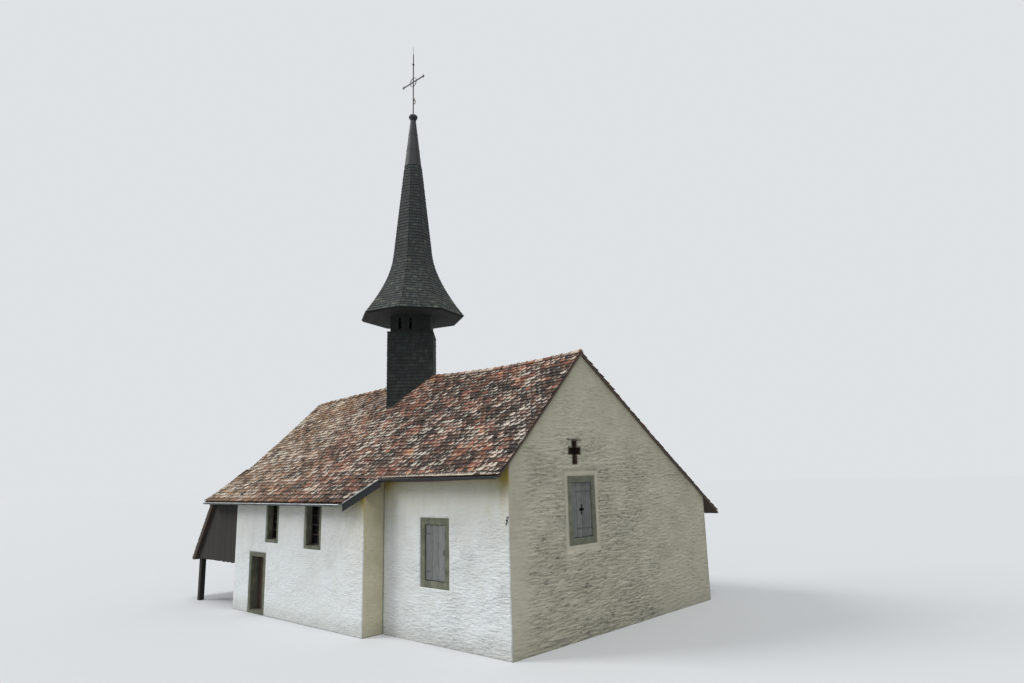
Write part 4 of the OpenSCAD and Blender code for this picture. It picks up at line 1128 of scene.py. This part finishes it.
def make_spire():
    shingle = weathered_shingle()
    rng = np.random.default_rng(91)
    # The last level but one is the top of the hollow inside
    sections = radii(corners("spire"))
    sections.pop(-2)
    heights, widths = zip(*sections)
    # From a corner's radius to the middle of a face
    inward = math.cos(EIGHTH / 2)
    fine = np.linspace(heights[0], heights[-1], 200)
    climb = np.hypot(np.diff(fine), np.diff(np.interp(fine, heights, widths)) * inward)
    run = np.concatenate([[0], np.cumsum(climb)])

    def spot(b):
        """Height and corner radius at a distance up the face."""
        z = float(np.interp(b, run, fine))
        return z, float(np.interp(z, heights, widths))

    heap = Heap()
    for side in range(8):
        outward, sideways = face_ways(spire_rim()[1] + (side + 0.5) * EIGHTH)

        def on_spire(a, b, height):
            z, r = spot(b)
            z1, r1 = spot(min(b + 0.05, run[-1]))
            z0, r0 = spot(max(b - 0.05, 0))
            rise = UP * (z1 - z0) + outward * (r1 - r0) * inward
            centre = Vector((TURRET.x, TURRET.y, z)) + outward * r * inward
            return centre + sideways * a + sideways.cross(rise).normalized() * height

        lay_shingles(heap, on_spire, lambda b: 2 * spot(b)[1] * math.sin(EIGHTH / 2), run[-1], rng,
                     (0.5, -0.6, 0.22))
    piece("spire_shingles", heap, shingle)

    walls = Heap()
    half_diagonal = max(abs(corners("turret_shaft")[:, 0] - TURRET.x))
    side_w = half_diagonal * math.sqrt(2) - 2 * SHAFT_SUNK
    for side in range(4):
        outward, sideways = face_ways((2 * side + 1) * EIGHTH)

        def on_shaft(a, b, height):
            return (Vector((TURRET.x, TURRET.y, SHAFT_TOP - SHAFT_CLAD + b))
                    + outward * (side_w / 2 + height) + sideways * a)

        lay_shingles(walls, on_shaft, lambda b: side_w + SHAFT_CORNER, SHAFT_CLAD - SHAFT_BARE,
                     rng, (0.1, 0, 0.15))
    piece("shaft_shingles", walls, shingle)
    finish_nodes(shingle, "spire", "turret_shaft")


BOARD_EDGE = 0.003
BOARD_GAP = 0.009
BOARD_UNEVEN = 0.002


def planks(heap, lo, hi, axis, count, rng):
    """Upright boards side by side in a box, none quite level with the next."""
    width = (hi[axis] - lo[axis]) / count
    for index in range(count):
        start, end = list(lo), list(hi)
        start[axis] = lo[axis] + index * width + (BOARD_GAP / 2 if index else 0)
        end[axis] = lo[axis] + (index + 1) * width - (BOARD_GAP / 2 if index < count - 1 else 0)
        shift = rng.uniform(-BOARD_UNEVEN, BOARD_UNEVEN)
        start[1 - axis] += shift
        end[1 - axis] += shift
        heap.put(block(start, end, BOARD_EDGE), rng.uniform(0.15, 0.85))


PLATE_EDGE = 0.002
PULL_R = 0.008


def plate(heap, axis, reach, face, outward, proud, sunk, z, half_tall):
    """A flat iron let into a face and standing proud of it."""
    heap.put(block(*wall_box(axis, reach, (face - outward * sunk, face + outward * proud),
                             (z - half_tall, z + half_tall)), PLATE_EDGE))


def pull(heap, axis, a, face, outward, z, bends):
    """A bent pull of round iron. Each bend has its distance from the face and its height."""
    heap.put(bar([wall_box(axis, (a, a), (face + outward * off,) * 2, (z + rise,) * 2)[0]
                  for off, rise in bends], PULL_R))


SHUTTER_FOOT_GAP = 0.014
# Ledges on a shutter's back and straps on its face lie at these shares of its height
LEDGE_SHARES = (0.16, 0.84)
LEDGE_INSET = 0.03
LEDGE_T = 0.03
LEDGE_HALF = 0.06
STRAP_PROUD = 0.008
STRAP_HALF = 0.012
STRAP_PAST = 0.015
PIN_R = 0.011
PIN_HALF = 0.04
# A choir shutter's pull: how far from the edge, half its plate's width, and its bends
GRIP_IN = 0.04
GRIP_PLATE_HALF = 0.018
SHUTTER_PULL = ((0.004, -0.045), (0.04, -0.03), (0.04, 0.03), (0.004, 0.045))
# The notch that each of the gable shutter's middle planks has for a small cross
CROSS_SLOT = 0.036
CROSS_ARM = 0.105
CROSS_TALL = 0.135


def shutter(boards, iron, points, axis, outward, hung_low, rng, strap_share, straps_low):
    """Planks on two ledges, with strap hinges on the face. Its tongue side has one level more.
    Gives its two sides, its face, its foot and its head."""
    a, depth, z = levels(points, axis), levels(points, 1 - axis), levels(points, 2)
    left, right = (a[1], a[-1]) if hung_low else (a[0], a[-2])
    front, back = (depth[0], depth[1]) if outward < 0 else (depth[-1], depth[-2])
    foot, head = z[0] + SHUTTER_FOOT_GAP, z[-1]
    if axis:
        cut_planks(boards, axis, (front, back), left, right, foot, head, rng)
    else:
        planks(boards, *wall_box(axis, (left, right), (front, back), (foot, head)), axis, 3, rng)
    for share in LEDGE_SHARES:
        middle = foot + share * (head - foot)
        boards.put(block(*wall_box(axis, (left + LEDGE_INSET, right - LEDGE_INSET),
                                   (back, back - outward * LEDGE_T),
                                   (middle - LEDGE_HALF, middle + LEDGE_HALF)), BOARD_EDGE), 0.4)
        reach = strap_share * (right - left)
        hinge = left - STRAP_PAST if straps_low else right + STRAP_PAST
        end = left + reach if straps_low else right - reach
        plate(iron, axis, (hinge, end), front, outward, STRAP_PROUD, 0.004, middle, STRAP_HALF)
        iron.put(bar(wall_box(axis, (hinge, hinge), (front + outward * 0.006,) * 2,
                              (middle - PIN_HALF, middle + PIN_HALF)), PIN_R))
    return left, right, front, foot, head


def cut_planks(boards, axis, depths, left, right, foot, head, rng):
    """The gable shutter's four planks. The two middle ones are notched to leave a small cross."""
    middle, centre = (left + right) / 2, (foot + head) / 2
    notch = [(0, foot), (0, centre - CROSS_TALL), (CROSS_SLOT, centre - CROSS_TALL),
             (CROSS_SLOT, centre - CROSS_SLOT), (CROSS_ARM, centre - CROSS_SLOT),
             (CROSS_ARM, centre + CROSS_SLOT), (CROSS_SLOT, centre + CROSS_SLOT),
             (CROSS_SLOT, centre + CROSS_TALL), (0, centre + CROSS_TALL), (0, head)]
    quarter = (right - left) / 4
    for sign in (-1, 1):
        joint = middle + sign * quarter
        inner, outer = joint - sign * BOARD_GAP / 2, joint + sign * BOARD_GAP / 2
        outline = [(middle + sign * (BOARD_GAP / 2 + a), z) for a, z in notch]
        boards.put(prism([*outline, (inner, head), (inner, foot)], axis, *depths),
                   rng.uniform(0.2, 0.8))
        reach = (outer, middle + 2 * sign * quarter)
        boards.put(block(*wall_box(axis, reach, depths, (foot, head)), BOARD_EDGE),
                   rng.uniform(0.2, 0.8))


def make_shutters():
    # Grey paint on planks, worn thin along the grain
    paint = timber("grey_painted_planks", "#434444", "#636463", "#7d7d7b", 12, 0.75, 2)
    # Forged straps painted over with the planks: thick grey paint, chipped to the dark iron
    iron = mottled("painted_iron", 20, 4.0, 0.6, [(0.4, "#2e2d2d"), (0.55, "#4f4e4f")], 0.6, 1)
    rng = np.random.default_rng(101)
    boards, hinges = Heap(), Heap()
    for points in solids("choir_shutters"):
        near = bool(points[:, 1].mean() < RIDGE_Y)
        outward = -1 if near else 1
        left, right, front, foot, head = shutter(boards, hinges, points, 0, outward, near, rng,
                                                 0.24, near)
        grip, middle = right - GRIP_IN if near else left + GRIP_IN, (foot + head) / 2
        plate(hinges, 0, (grip - GRIP_PLATE_HALF, grip + GRIP_PLATE_HALF), front, outward, 0.006,
              0.002, middle, 0.07)
        pull(hinges, 0, grip, front, outward, middle, SHUTTER_PULL)
    piece("choir_shutter_planks", boards, paint, ("choir_shutters",))
    piece("choir_shutter_hinges", hinges, iron)
    boards, hinges = Heap(), Heap()
    # Eight draws go by before the gable's planks, so that they have the tones that were matched
    rng.random(8)
    shutter(boards, hinges, solids("gable_shutter")[0], 1, 1, True, rng, 0.8, False)
    piece("gable_shutter_planks", boards, paint, ("gable_shutter",))
    piece("gable_shutter_hinges", hinges, iron)


SASH_HALF = 0.011
SASH_RAILS = 3
# How far a glazing bar stands before and behind its glass
SASH_PROUD = (0.016, 0.004)


def make_windows():
    """Glazing bars of the nave's windows: one upright and three rails on each sash."""
    # Oiled oak, gone brown
    oak = timber("brown_oak_bars", "#201813", "#34281f", "#4b3b30", 10, 0.7, 2)
    heap = Heap()
    for points in solids("nave_glass"):
        xs, ys, zs = levels(points, 0), levels(points, 1), levels(points, 2)
        depths = ys[0] - SASH_PROUD[0], ys[-1] + SASH_PROUD[1]
        left, right = (xs[0] + xs[-1]) / 2 - SASH_HALF, (xs[0] + xs[-1]) / 2 + SASH_HALF
        heap.put(block(*wall_box(0, (left, right), depths, (zs[0], zs[-1])), BOARD_EDGE))
        for rail in range(1, SASH_RAILS + 1):
            z = zs[0] + (zs[-1] - zs[0]) * rail / (SASH_RAILS + 1)
            for reach in ((xs[0], left), (right, xs[-1])):
                heap.put(block(*wall_box(0, reach, depths, (z - SASH_HALF, z + SASH_HALF)),
                               BOARD_EDGE))
    piece("nave_glazing_bars", heap, oak)
    finish_nodes(oak, "nave_sashes")
    finish_nodes(drawn_glass(), "nave_glass")


# A latch or pull: how far it is from its leaf's edge, and half its plate's width
LATCH_IN = 0.16
LATCH_PLATE_HALF = 0.03
LATCH_R = 0.009
LATCH_OUT = 0.045
# Heights of the side door's latch and the west door's pull over the foot of their leaves
LATCH_UP, WEST_PULL_UP = 0.98, 0.95
# The west door's pull, as its bends, and its straps, as shares of its height and their two ends
WEST_PULL = ((0.005, -0.05), (0.05, -0.035), (0.05, 0.035), (0.005, 0.05))
WEST_STRAP_SHARES = (0.15, 0.8)
WEST_STRAP_ENDS = (0.005, 0.62)


def make_doors(oak, iron):
    rng = np.random.default_rng(111)
    leaf, latch = Heap(), Heap()
    lo, hi = low("side_door"), high("side_door")
    planks(leaf, lo, hi, 0, 5, rng)
    piece("side_door_planks", leaf, oak, ("side_door",), body="side_door_leaf")
    x, z = hi.x - LATCH_IN, lo.z + LATCH_UP
    plate(latch, 0, (x - LATCH_PLATE_HALF, x + LATCH_PLATE_HALF), lo.y, -1, 0.006, 0.004, z, 0.1)
    bar_y, bar_z = lo.y - LATCH_OUT, z + 0.03
    for line in ([(x, lo.y, bar_z), (x, bar_y, bar_z)],
                 [(x + 0.01, bar_y, bar_z), (x - 0.1, bar_y, z + 0.024)]):
        latch.put(bar(line, LATCH_R))
    piece("side_door_latch", latch, iron, body="side_door_leaf")
    west, straps = Heap(), Heap()
    lo, hi = low("west_door"), high("west_door")
    planks(west, lo, hi, 1, 5, rng)
    for share in WEST_STRAP_SHARES:
        plate(straps, 1, [lo.y + end for end in WEST_STRAP_ENDS], lo.x, -1, 0.007, 0.003,
              lo.z + share * (hi.z - lo.z), 0.022)
    y, z = hi.y - LATCH_IN, lo.z + WEST_PULL_UP
    plate(straps, 1, (y - LATCH_PLATE_HALF, y + LATCH_PLATE_HALF), lo.x, -1, 0.007, 0.003, z, 0.09)
    pull(straps, 1, y, lo.x, -1, z, WEST_PULL)
    piece("west_door_planks", west, oak, ("west_door",))
    piece("west_door_ironwork", straps, iron)
    finish_nodes(iron, "side_door_straps", "side_door_pintles")


LINING_T = 0.014


def make_cross_lining(oak):
    """Behind the gable's cross stands a board, and thin ones line all twelve faces of the cut."""
    rng = np.random.default_rng(171)
    cross = nearest_the_gable()
    back, front = cross[:, 0].max(), COAT + 0.006
    across, up = levels(cross, 1), levels(cross, 2)
    turns = [(1, 0), (2, 0), (2, 1), (3, 1), (3, 2), (2, 2), (2, 3), (1, 3), (1, 2), (0, 2), (0, 1),
             (1, 1)]
    outline = [Vector((across[i], up[j])) for i, j in turns]
    lining = Heap()
    for start, end in zip(outline, outline[1:] + outline[:1]):
        along = (end - start).normalized()
        inner = end + Vector((-along.y, along.x)) * LINING_T
        lining.put(block((back, *start), (front, *inner), PLATE_EDGE), rng.uniform(0.3, 0.8))
    piece("cross_side_boards", lining, oak)
    finish_nodes(oak, "cross_lining")


GUTTER_BEAD = 0.009
BRACKET_STEP = 0.85
BRACKET_HALF = 0.014
# A bracket's outer and inner face, from the gutter's radius
BRACKET_FACES = (0.006, -0.001)
STRIP_OUT = 0.045
# The strip on the slanted edge: its top and underside, over the slope's line
STRIP_LEVELS = (0.024, 0.002)
DRIP_EDGE_UP, DRIP_EDGE_R = 0.012, 0.014
# The seams round the spire's tip, at these shares of its height
SEAM_SHARES = (0.0, 0.3, 0.6)
SEAM_SIDES = 40
SEAM_UP, SEAM_R = 0.01, 0.008


def make_gutters():
    # Zinc, bright where the weather has washed it. The gutters' round bodies are also painted
    # darker than the zinc of their beads, as painted shade under the lips
    shaded_zinc = sheet_metal("weathered_zinc_painted_shade", "#6f7474", "#525656", 0.8, 0.6)
    # The bead along a gutter's lip, and the strip on the slanted edge, are painted much lighter
    # than the gutter's body, with a glossier face: a painted highlight along these edges
    zinc_painted_highlight = sheet_metal("zinc_painted_highlight", "#d6d8d8", "#b4b8b8", 0.8, 0.35)
    # Sheet painted a dark green grey, with a dull satin face
    tin = sheet_metal("dark_painted_sheet", "#161a1c", "#0d1012", 0.0, 0.6)
    lips, choir_lip, brackets = Heap(), Heap(), Heap()
    for node in ("nave_gutter", "north_gutter", "choir_gutter"):
        lo, hi = low(node), high(node)
        lip = lo.y if lo.y < RIDGE_Y else hi.y
        bead = choir_lip if node == "choir_gutter" else lips
        bead.put(bar([(lo.x, lip, hi.z), (hi.x, lip, hi.z)], GUTTER_BEAD))
        middle = (lo.y + hi.y) / 2
        turns = [math.pi * k / 10 for k in range(11)]
        outer, inner = [[(middle - r * math.cos(t), hi.z - r * math.sin(t)) for t in turns]
                        for r in ((hi.y - lo.y) / 2 + off for off in BRACKET_FACES)]
        count = int((hi.x - lo.x) / BRACKET_STEP)
        for index in range(count):
            x = lo.x + (index + 0.5) * (hi.x - lo.x) / count
            brackets.put(prism(outer + inner[::-1], 1, x - BRACKET_HALF, x + BRACKET_HALF))
    piece("choir_gutter_bead", choir_lip, tin)
    piece("gutter_beads", lips, zinc_painted_highlight)
    piece("gutter_brackets", brackets, tin)
    # The strip on the slanted edge takes the beads' painted highlight
    strip = Heap()
    foot, head = Vector((JOG_FOOT_X, NAVE_EAVE_Y, 0)), Vector((JOG_TOP_X, CHOIR_EAVE_Y, 0))
    aside = (head - foot).cross(UP).normalized() * STRIP_OUT
    top, under = [[plan + UP * (near_z(plan.y) + over) + out for plan, out in
                   ((foot, aside * 0), (head, aside * 0), (head, aside), (foot, aside))]
                  for over in STRIP_LEVELS]
    strip.put(slab(under, top))
    piece("jog_drip_strip", strip, zinc_painted_highlight)
    finish_nodes(shaded_zinc, "nave_gutter", "north_gutter")
    finish_nodes(tin, "choir_gutter", "corner_board", "spire_tip")
    # Drip edge round the spire's rim and the seams of its tip
    rim, seams = Heap(), Heap()
    radius, turn = spire_rim()
    rim.put(bar([about_turret(radius, turn + k * EIGHTH, RIM_Z + DRIP_EDGE_UP) for k in range(9)],
                DRIP_EDGE_R))
    piece("spire_drip_edge", rim, tin)
    foot, head = low("spire_tip").z, high("spire_tip").z
    for share in SEAM_SHARES:
        z = foot + share * (head - foot)
        radius = float(np.interp(z, *zip(*radii(corners("spire_tip")))))
        seams.put(bar([about_turret(radius, 2 * math.pi * k / SEAM_SIDES, z + SEAM_UP)
                       for k in range(SEAM_SIDES + 1)], SEAM_R))
    piece("spire_tip_seams", seams, tin)


PORCH_BOARD_W = 0.17
PORCH_BOARD_GAP = 0.002
SOFFIT_INNER = 0.78
SOFFIT_COURSES = 8
SOFFIT_SHY = 0.06
SOFFIT_GAP = 0.006


def make_porch():
    # Larch boards left bare, dark brown with the grain standing up, and painted near black as
    # painted shade under the porch roof
    larch = timber("bare_larch_boards_painted_shade", "#0f0d0a", "#1a1612", "#29231d", 9, 0.85, 2)
    # Under the spire the same boards have a green film and are painted near black, as painted
    # shade under the spire
    green_larch_painted_shade = timber("green_larch_boards_painted_shade", "#0b100d", "#171d19", "#262d28", 9, 0.82, 2)
    rng = np.random.default_rng(121)
    heap, soffit = Heap(), Heap()
    for node in ("porch_south_boards", "porch_north_boards"):
        lo, hi = low(node), high(node)
        foot_x = min(p[0] for p in corners(node) if p[2] < lo.z + MM)
        count = round((hi.x - foot_x) / PORCH_BOARD_W)
        wide = (hi.x - foot_x) / count
        for index in range(count):
            x0 = foot_x + index * wide + PORCH_BOARD_GAP
            x1 = foot_x + (index + 1) * wide - PORCH_BOARD_GAP
            tops = [min(hi.z, lo.z + (x - foot_x) * math.tan(PORCH_PITCH)) for x in (x0, x1)]
            foot = lo.z - rng.uniform(0.0, 0.025)
            shift = rng.uniform(-BOARD_UNEVEN, BOARD_UNEVEN)
            outline = [(x0, foot), (x1, foot), (x1, tops[1]), (x0, tops[0])]
            heap.put(prism(outline, 0, lo.y + shift, hi.y + shift), rng.uniform(0.1, 0.9))
    piece("porch_side_boards", heap, larch,
          ("porch_south_boards", "porch_north_boards"))
    finish_nodes(larch, "porch_frame")
    finish_nodes(green_larch_painted_shade, "belfry_frame", "spire_soffit")
    radius, turn = spire_rim()
    bottom = low("spire_soffit").z
    wide = (radius - SOFFIT_SHY - SOFFIT_INNER) / SOFFIT_COURSES
    for side in range(8):
        ends = [turn + (side + k) * EIGHTH for k in (0, 1)]
        for course in range(SOFFIT_COURSES):
            r0 = SOFFIT_INNER + wide * course
            r1 = SOFFIT_INNER + wide * (course + 1) - SOFFIT_GAP
            ring = ((r0, ends[0]), (r1, ends[0]), (r1, ends[1]), (r0, ends[1]))
            drop = rng.uniform(0.010, 0.014)
            soffit.put(slab(*[[about_turret(r, t, z) for r, t in ring]
                              for z in (bottom - drop, bottom + 0.002)]), rng.uniform(0.1, 0.9))
    piece("spire_soffit_boards", soffit, green_larch_painted_shade)


# The wall anchor's place and the bends of its bar, along the wall and up it
ANCHOR_PLACE = (-0.075, -0.03, 3.28)
ANCHOR_BENDS = ((-0.035, -0.11), (-0.012, -0.05), (0.006, 0.0), (0.004, 0.045), (0.016, 0.085),
                (0.043, 0.1), (0.062, 0.08), (0.056, 0.055))
ANCHOR_R = 0.01
BOSS_R = 0.02
# The gilded leaf: its height over the spire's tip, its distance from the rod, and its bow's half
# width and height, first and last turn, and thickness
LEAF_OVER_TIP = 0.52
LEAF_OFF = 0.012
LEAF_BOW = (0.055, 0.11)
LEAF_TURNS = (-1.2, 1.9)
LEAF_R = 0.016


def make_ironwork(iron):
    anchor, leaf = Heap(), Heap()
    x, y, z = ANCHOR_PLACE
    anchor.put(bar([(x + a, y, z + up) for a, up in ANCHOR_BENDS], ANCHOR_R))
    anchor.put(bar([(x, y + 0.03, z), (x, y - 0.012, z)], BOSS_R))
    piece("wall_anchor", anchor, iron, smooth=True)
    finish_nodes(iron, "spire_cross", "weathercock")
    x, z = TURRET.x + LEAF_OFF, high("spire_tip").z + LEAF_OVER_TIP
    wide, tall = LEAF_BOW
    leaf.put(bar([(x + wide * (1 + math.cos(t)), TURRET.y, z + tall * math.sin(t))
                  for t in np.linspace(*LEAF_TURNS, 12)], LEAF_R, flat=0.5))
    # Leaf gold on iron, worn by weather: a warm metal with dull brown scuffs
    gilding = mottled("worn_gilding", 35, 5.0, 0.7, [
        (0.4, "#6b4326"), (0.55, "#a97f3d"), (0.7, "#cda55a")], 0.42, 1, Metallic=0.8)
    piece("gilded_leaf", leaf, gilding, smooth=True)


make_camera()
make_studio()
tile_clay = fired_clay()
make_roof(tile_clay)
make_ridge(tile_clay)
make_walls()
make_stones()
make_spire()
make_shutters()
make_windows()
# Old oak planks, red brown and dry
door_oak = timber("red_brown_oak_planks", "#241b15", "#3e2e24", "#564335", 10, 0.74, 2)
# Iron forged by hand and blackened, with a hammered face and rust showing through in places
black_iron = mottled("forged_iron", 24, 5.0, 0.65, [
    (0.4, "#1d1c1c"), (0.6, "#2b2827"), (0.74, "#4a3429")], 0.55, 2, Metallic=0.6)
make_doors(door_oak, black_iron)
make_cross_lining(door_oak)
make_gutters()
make_porch()
make_ironwork(black_iron)
